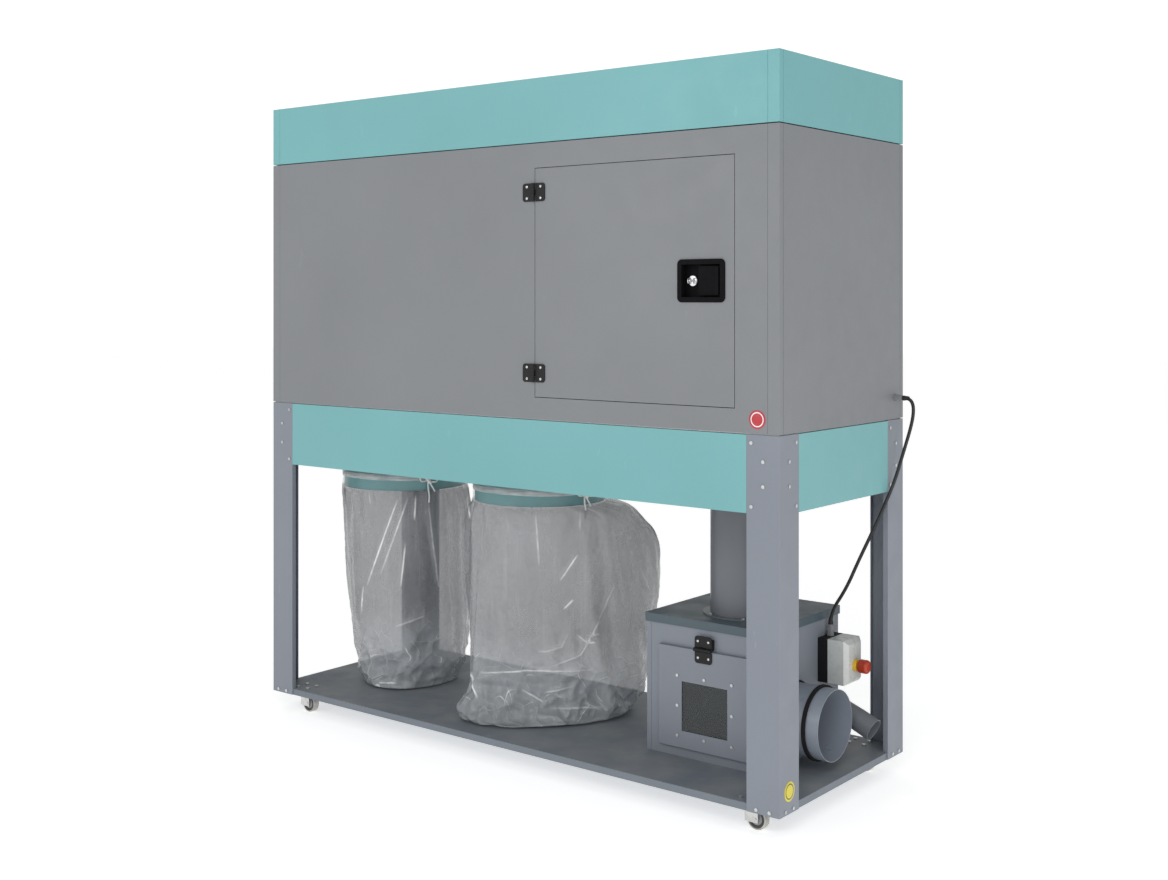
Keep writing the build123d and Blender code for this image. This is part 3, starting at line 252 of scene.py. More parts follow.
def plated(name, colour, roughness=0.32, stretch=(1, 1, 1)):
    """Bare or plated metal: fine drawn lines and a few dull spots."""
    look = Look(name, colour, roughness, 1.0)
    lines = look.noise(260, 4, stretch)
    dull = look.span(look.noise(45, 5, seed=4), 0.5, 0.75)
    shade = look.mix(look.span(lines, 0.3, 0.7), look.tint(0.86), look.tint(1.06))
    shade = look.mix(look.math("MULTIPLY", dull, 0.45), shade, look.tint(0.55))
    rough = look.span(lines, 0.3, 0.7, roughness - 0.08, roughness + 0.1)
    look.bump(lines, 0.0002, 0.4)
    return look.done(shade, rough)


def galvanised(name):
    look = Look(name, (0.52, 0.54, 0.55), 0.4, 1.0)
    flakes = look.cells(70, "Color")
    level = look.axis(0, flakes)
    shade = look.mix(level, look.tint(0.72), look.tint(1.12))
    stain = look.math("MULTIPLY", look.span(look.noise(6, 5), 0.45, 0.7), 0.5)
    shade = look.mix(stain, shade, look.tint(0.7))
    look.bump(look.noise(300, 2), 0.0002, 0.3)
    return look.done(shade, look.span(level, 0, 1, 0.32, 0.5))


def moulded(name, colour, roughness=0.45, grain=0.35, size=900, gloss=0.5):
    """Moulded plastic or rubber: fine grain, a little scuffing."""
    look = Look(name, colour, roughness)
    look.shader.inputs["Specular IOR Level"].default_value = gloss
    shade = look.mix(look.span(look.noise(30, 5), 0.3, 0.7), look.tint(0.85), look.tint(1.15))
    scuff = look.span(look.noise(70, 6, seed=9), 0.64, 0.72)
    shade = look.mix(look.math("MULTIPLY", scuff, 0.2), shade, look.tint(3.0))
    rough = look.span(look.noise(60, 4, seed=2), 0.3, 0.7, roughness - 0.06, roughness + 0.08)
    look.bump(look.cells(size), 0.0003, grain)
    return look.done(shade, rough)


def fleece(name):
    look = Look(name, (0.74, 0.73, 0.68), 0.95)
    weave = look.noise(900, 2, (1, 1, 0.15))
    pleat = look.span(look.noise(75, 0, (1, 1, 0.02), seed=2), 0.35, 0.65)
    # painted shade and light: the pleat stripes run from 0.55 to 1.05 of the fleece's tone, dark in the folds
    # and light on the ridges
    shade = look.mix(pleat, look.tint(0.55), look.tint(1.05))
    dirt = look.span(look.noise(7, 6, seed=5), 0.4, 0.75, 0, 0.4)
    shade = look.mix(dirt, shade, (0.42, 0.36, 0.28, 1))
    look.bump(pleat, 0.006, 0.8)
    look.bump(weave, 0.0006, 0.5)
    return look.done(shade, 0.95)


def clear_pane(name):
    look = Look(name, (0.18, 0.22, 0.24), 0.06)
    look.shader.inputs["Transmission Weight"].default_value = 0.94
    look.shader.inputs["IOR"].default_value = 1.49
    haze = look.span(look.noise(22, 6), 0.45, 0.75, 0.04, 0.22)
    look.bump(look.noise(8, 2), 0.0006, 0.3)
    return look.done(look.mix(look.span(look.noise(5, 4), 0.4, 0.7), look.colour, look.tint(0.9)), haze)


def clear_cover(name):
    """Pale grey cover with faint moulded ribs."""
    look = Look(name, (0.62, 0.64, 0.62), 0.28)
    look.shader.inputs["IOR"].default_value = 1.5
    ribs = look.math("SINE", look.math("MULTIPLY", look.axis(1), 1000.0))
    look.bump(look.span(ribs, -1, 1), 0.0004, 0.25)
    shade = look.mix(look.span(look.noise(25, 4), 0.35, 0.7), look.tint(0.985), look.tint(1.01))
    return look.done(shade, look.span(look.noise(40, 4, seed=1), 0.3, 0.7, 0.22, 0.36))


def film(name):
    """Polythene film: thin and greyish, crumpled low down, with painted white highlights along its sharp
    creases and crumple edges, faint painted highlight stripes, and painted light on its lower part.
    """
    look = Look(name, (0.42, 0.43, 0.44), 0.2)
    look.shader.inputs["IOR"].default_value = 1.5
    height = look.axis(2)
    # painted highlight: white glints along the creases, from the crumple ridges stored on the mesh and from
    # the listed lines of the creases, each with a soft band round it
    crease_glint = look.add("ShaderNodeAttribute", attribute_name="crease_glint").outputs["Fac"]
    away = look.math("ABSOLUTE", look.add("ShaderNodeAttribute", attribute_name="fold").outputs["Fac"])
    power = look.add("ShaderNodeAttribute", attribute_name="power").outputs["Fac"]
    uneven = look.span(look.noise(28, 4, seed=12), 0.3, 0.6, 0.45, 1.0)
    power = look.math("MULTIPLY", power, uneven)
    line = look.math("MULTIPLY", look.span(away, 0.0008, 0.0042, 1.15, 0.0), power)
    glint_halo = look.math("MULTIPLY", look.span(away, 0.002, 0.016, 1.0, 0.0), power)

    low = look.span(height, 0.36, 0.20)
    bent = look.add("ShaderNodeVectorMath", operation="ADD")
    warp = look.add("ShaderNodeTexNoise")
    warp.inputs["Scale"].default_value = 7.0
    look.link(look.place, warp.inputs["Vector"])
    soft = look.add("ShaderNodeVectorMath", operation="SCALE")
    look.link(warp.outputs["Color"], soft.inputs[0])
    soft.inputs["Scale"].default_value = 0.12
    look.link(look.place, bent.inputs[0])
    look.link(soft.outputs[0], bent.inputs[1])
    edges = look.add("ShaderNodeTexVoronoi", feature="DISTANCE_TO_EDGE")
    edges.inputs["Scale"].default_value = 15.0
    look.link(bent.outputs[0], edges.inputs["Vector"])
    facets = look.add("ShaderNodeTexVoronoi")
    facets.inputs["Scale"].default_value = 15.0
    look.link(bent.outputs[0], facets.inputs["Vector"])
    # painted highlight: thin glint lines along the crumple edges low down, in patches
    patch = look.span(look.noise(17, 4, seed=15), 0.47, 0.62)
    sharp = look.math("MULTIPLY", look.span(edges.outputs["Distance"], 0.002, 0.02, 1.0, 0.0), patch)
    sharp = look.math("MULTIPLY", sharp, low)

    clouds = look.span(look.noise(7, 5, (1, 1, 0.45)), 0.32, 0.7)
    # painted highlight: faint vertical stripes of light, a little more opaque
    highlight_streaks = look.span(look.noise(55, 4, (1, 1, 0.07), seed=3), 0.55, 0.76)
    shade = look.mix(clouds, (0.205, 0.212, 0.226, 1), (0.275, 0.284, 0.300, 1))
    shade = look.mix(look.math("MULTIPLY", highlight_streaks, 0.2), shade, (0.58, 0.59, 0.60, 1))
    # painted light: the film is lightened towards the bottom, from 0.36 m down to 0.20 m and below
    shade = look.mix(look.math("MULTIPLY", low, 0.6), shade, (0.50, 0.53, 0.56, 1))
    # painted highlight: the glints are mixed to near white and made more opaque
    white = look.math("MAXIMUM", look.math("MAXIMUM", crease_glint, line), look.math("MULTIPLY", sharp, 0.7))
    white = look.math("MINIMUM", look.math("ADD", white, look.math("MULTIPLY", glint_halo, 0.16)), 1.0)
    shade = look.mix(white, shade, (0.95, 0.96, 0.97, 1))
    alpha = look.math("ADD", look.span(clouds, 0, 1, 0.56, 0.70), look.math("MULTIPLY", white, 0.35))
    alpha = look.math("MINIMUM", look.math("ADD", alpha, look.math("MULTIPLY", highlight_streaks, 0.08)), 0.97)
    alpha = look.math("MULTIPLY", alpha, look.span(height, 0.758, 0.768, 1.0, 0.34))
    look.bump(look.noise(16, 5, (1, 1, 0.35), seed=2), 0.012, 0.35)
    look.bump(look.noise(95, 4, (1, 1, 0.3), seed=6), 0.003, 0.3)
    look.bump(look.math("MULTIPLY", facets.outputs["Distance"], low), 0.030, 0.7)
    look.bump(line, 0.004, 0.8)
    return look.done(shade, look.span(look.noise(30, 4, seed=7), 0.3, 0.7, 0.16, 0.34), alpha)


def strap_band(name):
    """A stretched clear band: pale, half see-through, with fine lines round it."""
    look = Look(name, (0.60, 0.64, 0.65), 0.25)
    lines = look.noise(300, 3, (0.05, 0.05, 1))
    shade = look.mix(look.span(lines, 0.35, 0.7), look.tint(0.8), look.tint(1.25))
    look.bump(lines, 0.0004, 0.5)
    return look.done(shade, 0.3, look.span(look.noise(20, 3, seed=4), 0.3, 0.7, 0.4, 0.68))


def caster_wheel(name):
    """Light tread with a dark ring and a grey hub on each face, by distance from the axle."""
    look = Look(name, (0.50, 0.49, 0.45), 0.6)
    generated = look.add("ShaderNodeTexCoord").outputs["Generated"]
    x = look.math("SUBTRACT", look.axis(0, generated), 0.5)
    z = look.math("SUBTRACT", look.axis(2, generated), 0.5)
    away = look.math("SQRT", look.math("ADD", look.math("MULTIPLY", x, x), look.math("MULTIPLY", z, z)))
    ring = look.math("MULTIPLY", look.span(away, 0.27, 0.29), look.span(away, 0.43, 0.41))
    hub = look.span(away, 0.29, 0.27)
    shade = look.mix(look.span(look.noise(60, 5), 0.3, 0.7), look.tint(0.75), look.tint(1.1))
    shade = look.mix(ring, shade, (0.035, 0.035, 0.037, 1))
    shade = look.mix(hub, shade, (0.32, 0.33, 0.34, 1))
    dirt = look.span(look.noise(35, 6, seed=4), 0.5, 0.8, 0, 0.5)
    shade = look.mix(dirt, shade, (0.14, 0.13, 0.12, 1))
    look.bump(look.noise(300, 3), 0.0005, 0.4)
    return look.done(shade, look.span(look.noise(50, 3, seed=1), 0.3, 0.7, 0.45, 0.7))


GREY_LEG = (0.222, 0.244, 0.284)
GREY_BODY = (0.212, 0.222, 0.236)
GREY_BASE = (0.170, 0.195, 0.225)
TEAL = (0.175, 0.425, 0.440)

looks = {
    painted("leg_paint", GREY_LEG, 0.45, 0.7, marks=0.4): [
        "leg_front_left", "leg_front_right", "leg_rear_left", "leg_rear_right", "separator_box",
        "flap_door",
    ],
    painted("base_paint", GREY_BASE, 0.5, 0.6, dust=0.35, marks=0.6): ["base_pan"],
    painted("lid_paint", (0.075, 0.108, 0.128), 0.42, 0.6, dust=0.12): ["separator_lid"],
    painted("duct_paint", (0.155, 0.165, 0.182), 0.36, 0.5): ["riser_duct", "dust_stub"],
    painted("spigot_paint", (0.250, 0.280, 0.330), 0.33, 0.4): ["inlet_spigot"],
    painted("teal_paint", TEAL, 0.4, 0.5, marks=0.12, waves=0.03): ["skirt_panels", "top_cap", "bag_collars"],
    painted("body_paint", GREY_BODY, 0.46, 0.8, marks=0.12, waves=0.06): [
        "cabinet_front", "cabinet_rear", "cabinet_side_panels", "access_door",
    ],
    painted("fan_paint", (0.09, 0.11, 0.13), 0.3, 0.3): ["fan_scroll", "impeller", "motor"],
    galvanised("galvanised_sheet"): [
        "cabinet_floor", "partition", "bag_hoppers", "filter_plate", "separator_deflector",
        "outlet_grille", "caster_plates",
    ],
    painted("hinge_black", (0.010, 0.010, 0.011), 0.45, 0.5, marks=0.2, gloss=0.3): [
        "hinge_leaves_fixed", "door_hinge_leaves", "flap_hinge_leaf",
    ],
    moulded("latch_black", (0.005, 0.005, 0.006), 0.6, gloss=0.08): ["latch_cup", "latch_paddle"],
    moulded("starter_black", (0.010, 0.010, 0.012), 0.55, gloss=0.25): ["starter_back"],
    moulded("seal_black", (0.010, 0.010, 0.010), 0.8, 0.6, gloss=0.25): ["door_seal", "spigot_clamps"],
    plated("screw_zinc", (0.62, 0.63, 0.63), 0.34): [
        "frame_screws", "flap_screws", "hinge_pins", "latch_bolt",
    ],
    plated("lock_metal", (0.78, 0.78, 0.79), 0.16): ["door_lock"],
    plated("stem_steel", (0.6, 0.6, 0.6), 0.25): ["estop_plunger"],
    plated("fork_zinc", (0.66, 0.66, 0.64), 0.3): [n for n in nodes if n.startswith("caster_fork")],
    fleece("filter_fleece"): ["filter_cartridges"],
    clear_pane("window_pane"): ["flap_window"],
    clear_cover("starter_cover_clear"): ["starter_cover"],
    moulded("stop_yellow", (0.80, 0.50, 0.02), 0.35, 0.15): ["estop_base"],
    moulded("stop_red", (0.42, 0.042, 0.014), 0.3, 0.1): ["estop_mushroom"],
    moulded("gland_grey", (0.24, 0.25, 0.26), 0.45, 0.2): ["cable_glands"],
    caster_wheel("wheel_rubber"): [n for n in nodes if n.startswith("caster_wheel")],
}
for material, names in looks.items():
    for name in names:
        mesh = nodes[name].data
        mesh.materials.clear()
        mesh.materials.append(material)

film_look = film("bag_film")
cable_look = moulded("cable_sheath", (0.010, 0.010, 0.011), 0.42, 0.25, 1500)
black_rubber = moulded("rubber_black", (0.014, 0.014, 0.014), 0.6, 0.5)
zinc_look = plated("hardware_zinc", (0.66, 0.67, 0.67), 0.28)
strap_look = strap_band("strap_clear")
tie_look = moulded("tie_white", (0.72, 0.74, 0.74), 0.25, 0.1)


# ------------------------------------------------------------------------------------------
# Floor
# ------------------------------------------------------------------------------------------
floor_mesh = grid_mesh("floor", [[(-30, -30, 0), (30, -30, 0)], [(-30, 30, 0), (30, 30, 0)]])
floor = add("floor", floor_mesh)
floor_look = Look("floor_white", (0.92, 0.92, 0.92), 0.85)
floor_look.shader.inputs["Emission Color"].default_value = (1, 1, 1, 1)
floor_look.shader.inputs["Emission Strength"].default_value = 0.52
floor_shade = floor_look.mix(floor_look.noise(3, 3), floor_look.colour, floor_look.tint(0.99))
floor_mesh.materials.append(floor_look.done(floor_shade))


# ------------------------------------------------------------------------------------------
# Cable from the cabinet down to the starter, with a tapered boot at each gland
# ------------------------------------------------------------------------------------------
CABLE_DIAMETER = 0.010
CABLE_ROUTE = [
    (1.032, 0.307, 1.120),
    (1.050, 0.307, 1.120),
    (1.0635, 0.3067, 1.1075),
    (1.067, 0.3058, 1.080),
    (1.060, 0.303, 1.037),
    (1.040, 0.294, 0.962),
    (1.024, 0.272, 0.880),
    (1.003, 0.240, 0.802),
    (0.968, 0.232, 0.723),
    (0.927, 0.227, 0.637),
    (0.890, 0.225, 0.555),
    (0.84065, 0.221, 0.479),
    (0.84065, 0.221, 0.444),
]

cable_curve = bpy.data.curves.new("power_cable_run", "CURVE")
cable_curve.dimensions = "3D"
cable_curve.bevel_depth = CABLE_DIAMETER / 2
cable_curve.bevel_resolution = 6
cable_curve.resolution_u = 24
cable_curve.use_fill_caps = True
spline = cable_curve.splines.new("NURBS")
spline.points.add(len(CABLE_ROUTE) - 1)
for point, place in zip(spline.points, CABLE_ROUTE):
    point.co = (*place, 1)
spline.order_u = 3
spline.use_endpoint_u = True
cable_curve.materials.append(cable_look)
cable = bpy.data.objects.new("cable_run", cable_curve)
scene.collection.objects.link(cable)
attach(cable, "root")
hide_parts("power_cable")


def turned(name, profile, start, direction, sides=32):
    """A solid of revolution: profile holds (distance along direction, radius)."""
    direction = Vector(direction).normalized()
    across = direction.orthogonal().normalized()
    other = direction.cross(across)
    rows = []
    for distance, radius in profile:
        centre = Vector(start) + direction * distance
        rows.append([
            centre + (across * math.cos(a) + other * math.sin(a)) * radius
            for a in (2 * math.pi * k / sides for k in range(sides))
        ])
    mesh = grid_mesh(name, rows, True)
    work = bmesh.new()
    work.from_mesh(mesh)
    work.verts.ensure_lookup_table()
    for first in (0, (len(profile) - 1) * sides):
        loop = [work.verts[first + k] for k in range(sides)]
        work.faces.new(loop)
    bmesh.ops.recalc_face_normals(work, faces=work.faces)
    work.to_mesh(mesh)
    work.free()
    return smooth(add(name, mesh), 38)


def finished(thing, look, body="root"):
    thing.data.materials.clear()
    thing.data.materials.append(look)
    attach(thing, body)
    return thing


BOOT = ((0, 0.0070), (0.002, 0.0076), (0.006, 0.0074), (0.012, 0.0064), (0.018, 0.0057), (0.020, 0.0053))
finished(turned("cable_boot_upper", BOOT, (1.0318, 0.307, 1.120), (1, 0, 0)), black_rubber)
finished(turned("cable_boot_lower", BOOT, (0.84065, 0.221, 0.4438), (0, 0, 1)), black_rubber)


# ------------------------------------------------------------------------------------------
# Bags: each a tube of film gathered on its collar, with a closed end on the base
# ------------------------------------------------------------------------------------------
COLLARS = {"left": Vector((-0.723, 0.005, 0)), "right": Vector((-0.105, 0.005, 0))}
COLLAR_LOW, NECK_TOP, BASE_TOP = 0.762, 0.832, 0.082
TURN = math.radians(38)
ALONG = Vector((math.cos(TURN), math.sin(TURN), 0))
FORWARD = Vector((math.sin(TURN), -math.cos(TURN), 0))
# height above the base, middle along and forward, half width along and across, in metres
SECTIONS = {
    "left": (
        (0.00, 0.025, 0.020, 0.160, 0.146),
        (0.05, 0.023, 0.018, 0.184, 0.160),
        (0.15, 0.022, 0.012, 0.202, 0.175),
        (0.40, 0.016, 0.004, 0.227, 0.189),
        (0.60, 0.014, 0.000, 0.228, 0.204),
        (0.672, 0.000, 0.000, 0.2166, 0.2166),
    ),
    "right": (
        (0.00, 0.060, 0.060, 0.248, 0.188),
        (0.04, 0.064, 0.050, 0.276, 0.188),
        (0.15, 0.079, 0.025, 0.312, 0.178),
        (0.40, 0.089, 0.005, 0.342, 0.162),
        (0.56, 0.088, 0.000, 0.343, 0.169),
        (0.63, 0.072, 0.000, 0.322, 0.184),
        (0.66, 0.040, 0.000, 0.268, 0.200),
        (0.676, 0.000, 0.000, 0.2168, 0.2168),
    ),
}
# creases as (offset along, height) on the side that faces forward, in metres; each is raised as a ridge and
# painted as a white highlight line
CREASES = {
    "left": (
        ((0.000, 0.735), (-0.055, 0.590), (-0.112, 0.430)),
        ((0.037, 0.745), (-0.012, 0.610), (-0.064, 0.470)),
        ((0.100, 0.735), (0.115, 0.580), (0.133, 0.425)),
        ((0.060, 0.750), (0.055, 0.660)),
        ((-0.101, 0.766), (-0.097, 0.715)),
        ((0.025, 0.585), (0.008, 0.435)),
        ((-0.125, 0.430), (-0.135, 0.330)),
        ((-0.090, 0.105), (-0.060, 0.125)),
        ((-0.075, 0.100), (-0.005, 0.108)),
        ((-0.010, 0.300), (0.090, 0.335)),
    ),
    "right": (
        ((0.125, 0.612), (0.068, 0.528)),
        ((0.240, 0.507), (0.174, 0.366), (0.133, 0.296), (0.030, 0.257)),
        ((0.165, 0.358), (0.193, 0.361)),
        ((0.156, 0.333), (0.181, 0.336)),
        ((0.095, 0.366), (0.074, 0.323), (0.024, 0.308), (0.000, 0.308)),
        ((0.120, 0.361), (0.149, 0.336)),
        ((0.328, 0.540), (0.360, 0.463)),
        ((-0.008, 0.740), (0.003, 0.572)),
        ((-0.232, 0.760), (-0.225, 0.700)),
        ((0.131, 0.750), (0.131, 0.685)),
        ((-0.195, 0.231), (-0.034, 0.248), (0.181, 0.248)),
        ((-0.218, 0.226), (-0.192, 0.155)),
        ((0.046, 0.133), (0.112, 0.136), (0.209, 0.128)),
        ((0.110, 0.470), (0.080, 0.440)),
        ((-0.050, 0.190), (0.020, 0.150)),
        ((0.020, 0.180), (0.110, 0.200)),
    ),
}
# height, and share of the ruffle, of the rows held on the collar
NECK_ROWS = (
    (NECK_TOP, 1.0), (0.826, 0.7), (0.820, 0.3), (0.814, 0), (0.800, 0),
    (0.786, 0.1), (0.774, 0.2), (0.765, 0.3), (0.758, 0.4),
)
CUT_RADIUS = {"left": 0.224, "right": 0.256}    # of the film's tube, before it is hung
AROUND = 168
BODY_ROWS = 64
FOOT_ROWS = 15
SLACK = {"left": 1.05, "right": 1.06}       # extra film along the drop
LOBE = {"left": (-70, 0.030, 0.10), "right": (-108, 0.085, 0.15)}   # direction, reach, height


def section_at(sections, height):
    """The bag's middle and half widths at a height above the base, eased between sections."""
    heights = [s[0] for s in sections]
    values = np.array([s[1:] for s in sections])
    blurred = np.zeros(4)
    steps = np.linspace(-0.02, 0.02, 7)
    for step in steps:
        place = min(max(height + step, heights[0]), heights[-1])
        blurred += [np.interp(place, heights, values[:, k]) for k in range(4)]
    return blurred / len(steps)


def bag_rings(side):
    """Target rings from the gathered neck down to the foot, and the flat film's own rings."""
    middle, sections = COLLARS[side], SECTIONS[side]
    lobe_angle, lobe_reach, lobe_height = LOBE[side]
    angles = np.arange(AROUND) * 2 * math.pi / AROUND
    target, cut, pinned = [], [], []
    cut_radius = CUT_RADIUS[side]

    def place(radius_x, radius_y, centre, height, extra=0.0):
        """Rings start at the same direction in the object's frame, and extra adds radius."""
        turned_angles = angles - TURN
        x = radius_x * np.cos(turned_angles)
        y = radius_y * np.sin(turned_angles)
        size = np.hypot(x, y)
        grow = (size + extra) / np.maximum(size, 1e-6)
        point = np.outer(x * grow, ALONG) + np.outer(y * grow, -FORWARD)
        point += np.array(middle + centre)
        point[:, 2] = height
        return point

    def film_ring(depth, radius):
        return np.stack([radius * np.cos(angles), radius * np.sin(angles), np.full(AROUND, -depth)], 1)

    ruffle = 0.0045 * np.sin(26 * angles + 0.6) + 0.003 * np.sin(11 * angles + 2.0)
    for height, share in NECK_ROWS:
        target.append(place(0.2164, 0.2164, Vector(), height, 0.0008 + share * (0.0055 + ruffle)))
        cut.append(film_ring(NECK_TOP - height, cut_radius))
        pinned.append(1.0)
    body_top = NECK_ROWS[-1][0]
    down = NECK_TOP - body_top
    slack_down = SLACK[side]
    previous = body_top
    for row in range(BODY_ROWS):
        share = (row + 1) / BODY_ROWS
        height = body_top + (BASE_TOP + 0.004 - body_top) * share
        along, forward, half_long, half_short = section_at(sections, height - BASE_TOP)
        centre = ALONG * along + FORWARD * forward
        pleat = math.exp(-share * 7) * 0.010
        gather = pleat * np.sin(24 * angles + 0.7 * np.sin(5 * angles)) * (0.6 + 0.4 * np.sin(3 * angles + 1))
        hang = 0.006 * np.sin(7 * angles + 2.2 * share) * math.sin(math.pi * share)
        low = max(0.0, 1 - (height - BASE_TOP) / lobe_height)
        turn = (np.degrees(angles) - lobe_angle + 180) % 360 - 180
        bulge = lobe_reach * np.exp(-(turn / 38) ** 2) * low * low * (3 - 2 * low)
        target.append(place(half_long, half_short, centre, height, gather + hang + bulge))
        down += (previous - height) * slack_down
        previous = height
        cut.append(film_ring(down, cut_radius))
        pinned.append(max(0.045, 0.9 - share * 14))
    rim = target[-1].copy()
    heart = rim.mean(0)
    for row in range(1, FOOT_ROWS + 1):
        share = row / FOOT_ROWS
        ring = rim + (heart - rim) * (share if share < 1 else 0.997)
        ring[:, 2] = BASE_TOP + 0.004 - 0.0022 * min(1, share * 3)
        target.append(ring)
        cut.append(film_ring(down, cut_radius * max(0.004, 1 - share)))
        pinned.append(0.12)
    return np.array(target), np.array(cut), pinned


def wall(name, low, high):
    """A plain box that the film may not enter while it falls; it is taken away afterwards."""
    work = bmesh.new()
    bmesh.ops.create_cube(work, size=1)
    mesh = bpy.data.meshes.new(name)
    work.to_mesh(mesh)
    work.free()
    low, high = Vector(low), Vector(high)
    mesh.transform(Matrix.Translation((low + high) / 2) @ Matrix.Diagonal((*(high - low), 1)))
    thing = add(name, mesh)
    thing.modifiers.new("collision", "COLLISION")
    thing.collision.thickness_outer = 0.002
    thing.collision.cloth_friction = 8
    return thing


def settle(thing, cut, pinned, frames):
    """Let the film fall into folds under its weight, held at the neck and lightly elsewhere."""
    thing.shape_key_add(name="Basis")
    key = thing.shape_key_add(name="film")
    key.data.foreach_set("co", cut.reshape(-1, 3).ravel())
    group = thing.vertex_groups.new(name="held")
    for row, weight in enumerate(pinned):
        group.add(list(range(row * AROUND, (row + 1) * AROUND)), weight, "REPLACE")
    modifier = thing.modifiers.new("cloth", "CLOTH")
    settings = modifier.settings
    settings.quality = 6
    settings.mass = 0.12
    settings.tension_stiffness = settings.compression_stiffness = 30
    settings.shear_stiffness = 12
    settings.bending_stiffness = 0.18
    settings.air_damping = 1.5
    settings.vertex_group_mass = "held"
    settings.pin_stiffness = 1.0
    settings.rest_shape_key = key
    modifier.collision_settings.use_collision = True
    modifier.collision_settings.distance_min = 0.002
    modifier.collision_settings.collision_quality = 2
    modifier.collision_settings.use_self_collision = False
    modifier.point_cache.frame_start, modifier.point_cache.frame_end = 1, frames
    scene.frame_start, scene.frame_end = 1, frames
    for step in range(1, frames + 1):
        scene.frame_set(step)
    shown = thing.evaluated_get(bpy.context.evaluated_depsgraph_get())
    co = np.empty(len(thing.data.vertices) * 3)
    shown.data.vertices.foreach_get("co", co)
    thing.modifiers.clear()
    thing.shape_key_clear()
    scene.frame_set(1)
    return co.reshape(-1, 3)


def crumple(points, seed, size, depth):
    """Sharp-edged folds: ridged noise, signed."""
    out = np.empty(len(points))
    offset = Vector((seed, seed * 2.3, -seed))
    for k, p in enumerate(points):
        out[k] = 1 - 2 * abs(noise.noise(Vector(p) * size + offset))
    return (out - 0.6) * depth


def bag(side, frames=34, cap=0.05):
    name = f"film_bag_{side}"
    target, cut, pinned = bag_rings(side)
    flat_points = target.reshape(-1, 3)
    mesh = grid_mesh(name, target, True)
    thing = add(name, mesh)
    walls = [wall("wall_base", (-1.0, -0.35, 0.0), (1.0, 0.36, BASE_TOP))]
    if side == "right":
        walls.append(wall("wall_separator", (0.418, -0.16, 0.0), (0.83, 0.305, 0.49)))
    moved = settle(thing, cut, pinned, frames)
    for w in walls:
        bpy.data.objects.remove(w, do_unlink=True)
    shift = moved - flat_points
    size = np.linalg.norm(shift, axis=1)
    limit = cap * np.tanh(size / cap)
    moved = flat_points + shift * (limit / np.maximum(size, 1e-9))[:, None]
    moved[:, 2] = np.maximum(moved[:, 2], BASE_TOP + 0.0012)
    mesh.vertices.foreach_set("co", moved.ravel())
    mesh.update()

    subdivide = thing.modifiers.new("subdivision", "SUBSURF")
    subdivide.levels = subdivide.render_levels = 1
    shown = thing.evaluated_get(bpy.context.evaluated_depsgraph_get())
    fine = bpy.data.meshes.new_from_object(shown)
    thing.modifiers.clear()
    thing.data = fine
    count = len(fine.vertices)
    co = np.empty(count * 3)
    fine.vertices.foreach_get("co", co)
    co = co.reshape(-1, 3)
    middle = np.array(COLLARS[side])
    outward = co - middle
    outward[:, 2] = 0
    outward /= np.maximum(np.linalg.norm(outward, axis=1), 1e-6)[:, None]
    free = np.clip((0.765 - co[:, 2]) / 0.05, 0, 1)

    low = np.clip((0.30 - co[:, 2]) / 0.16, 0, 1)
    above = np.clip((co[:, 2] - BASE_TOP - 0.002) / 0.03, 0, 1)
    big = crumple(co, 3.1, 9.0, 0.014) * low * above
    small = crumple(co, 7.7, 24.0, 0.006) * (0.25 + 0.75 * low) * above
    push = (big + small) * free
    # painted highlight: the tops of the crumple ridges are kept as glints to whiten in the film's colour
    crease_glint = np.clip((big / 0.0056 - 0.72) * 1.4, 0, 1) * 0.30
    crease_glint += np.clip((small / 0.0024 - 0.72) * 1.6, 0, 1) * 0.34 * (0.3 + 0.7 * low)

    facing = (outward @ np.array(FORWARD)) > 0.0
    along = (co - middle) @ np.array(ALONG)
    height = co[:, 2]
    fold = np.full(count, 9.0)
    power = np.zeros(count)
    for line_index, line in enumerate(CREASES[side]):
        line = np.array(line, float)
        runs = line[1:] - line[:-1]
        lengths = np.linalg.norm(runs, axis=1)
        nearest = np.full(count, 9.0)
        signed = np.full(count, 9.0)
        reach = np.zeros(count)
        done = 0.0
        for start, run, length in zip(line, runs, lengths):
            da, dh = along - start[0], height - start[1]
            raw = (da * run[0] + dh * run[1]) / length**2
            share = np.clip(raw, 0, 1)
            distance = np.hypot(da - share * run[0], dh - share * run[1])
            side_of = np.where(da * run[1] - dh * run[0] < 0, -1.0, 1.0)
            closer = distance < nearest
            nearest = np.where(closer, distance, nearest)
            signed = np.where(closer, distance * side_of, signed)
            reach = np.where(closer, (done + share * length) / lengths.sum(), reach)
            done += length
        taper = np.clip(4 * reach * (1 - reach), 0, 1) ** 0.6
        bright = 0.70 + 0.30 * math.sin(line_index * 2.4 + 1.0)
        ridge = np.exp(-((nearest / 0.0075) ** 2)) * facing * free * taper
        beside = np.exp(-((nearest / 0.024) ** 2)) * facing * free * taper
        push += 0.0050 * ridge - 0.0040 * beside
        # painted highlight: fold keeps the distance to the nearest listed line and power how bright its glint
        # is painted
        closer = nearest < np.abs(fold)
        power = np.where(closer, taper * bright * facing * free, power)
        fold = np.where(closer, signed, fold)
    co = co + outward * push[:, None]
    co[:, 2] = np.maximum(co[:, 2], BASE_TOP + 0.0010)
    fine.vertices.foreach_set("co", co.ravel())
    attribute = fine.attributes.new("crease_glint", "FLOAT", "POINT")
    attribute.data.foreach_set("value", np.clip(crease_glint, 0, 1).astype(np.float32))
    for key, values in (("fold", np.clip(fold, -0.5, 0.5)), ("power", power)):
        attribute = fine.attributes.new(key, "FLOAT", "POINT")
        attribute.data.foreach_set("value", values.astype(np.float32))
    fine.update()
    smooth(thing)
    finished(thing, film_look)
    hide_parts(f"bag_{side}")
    return thing


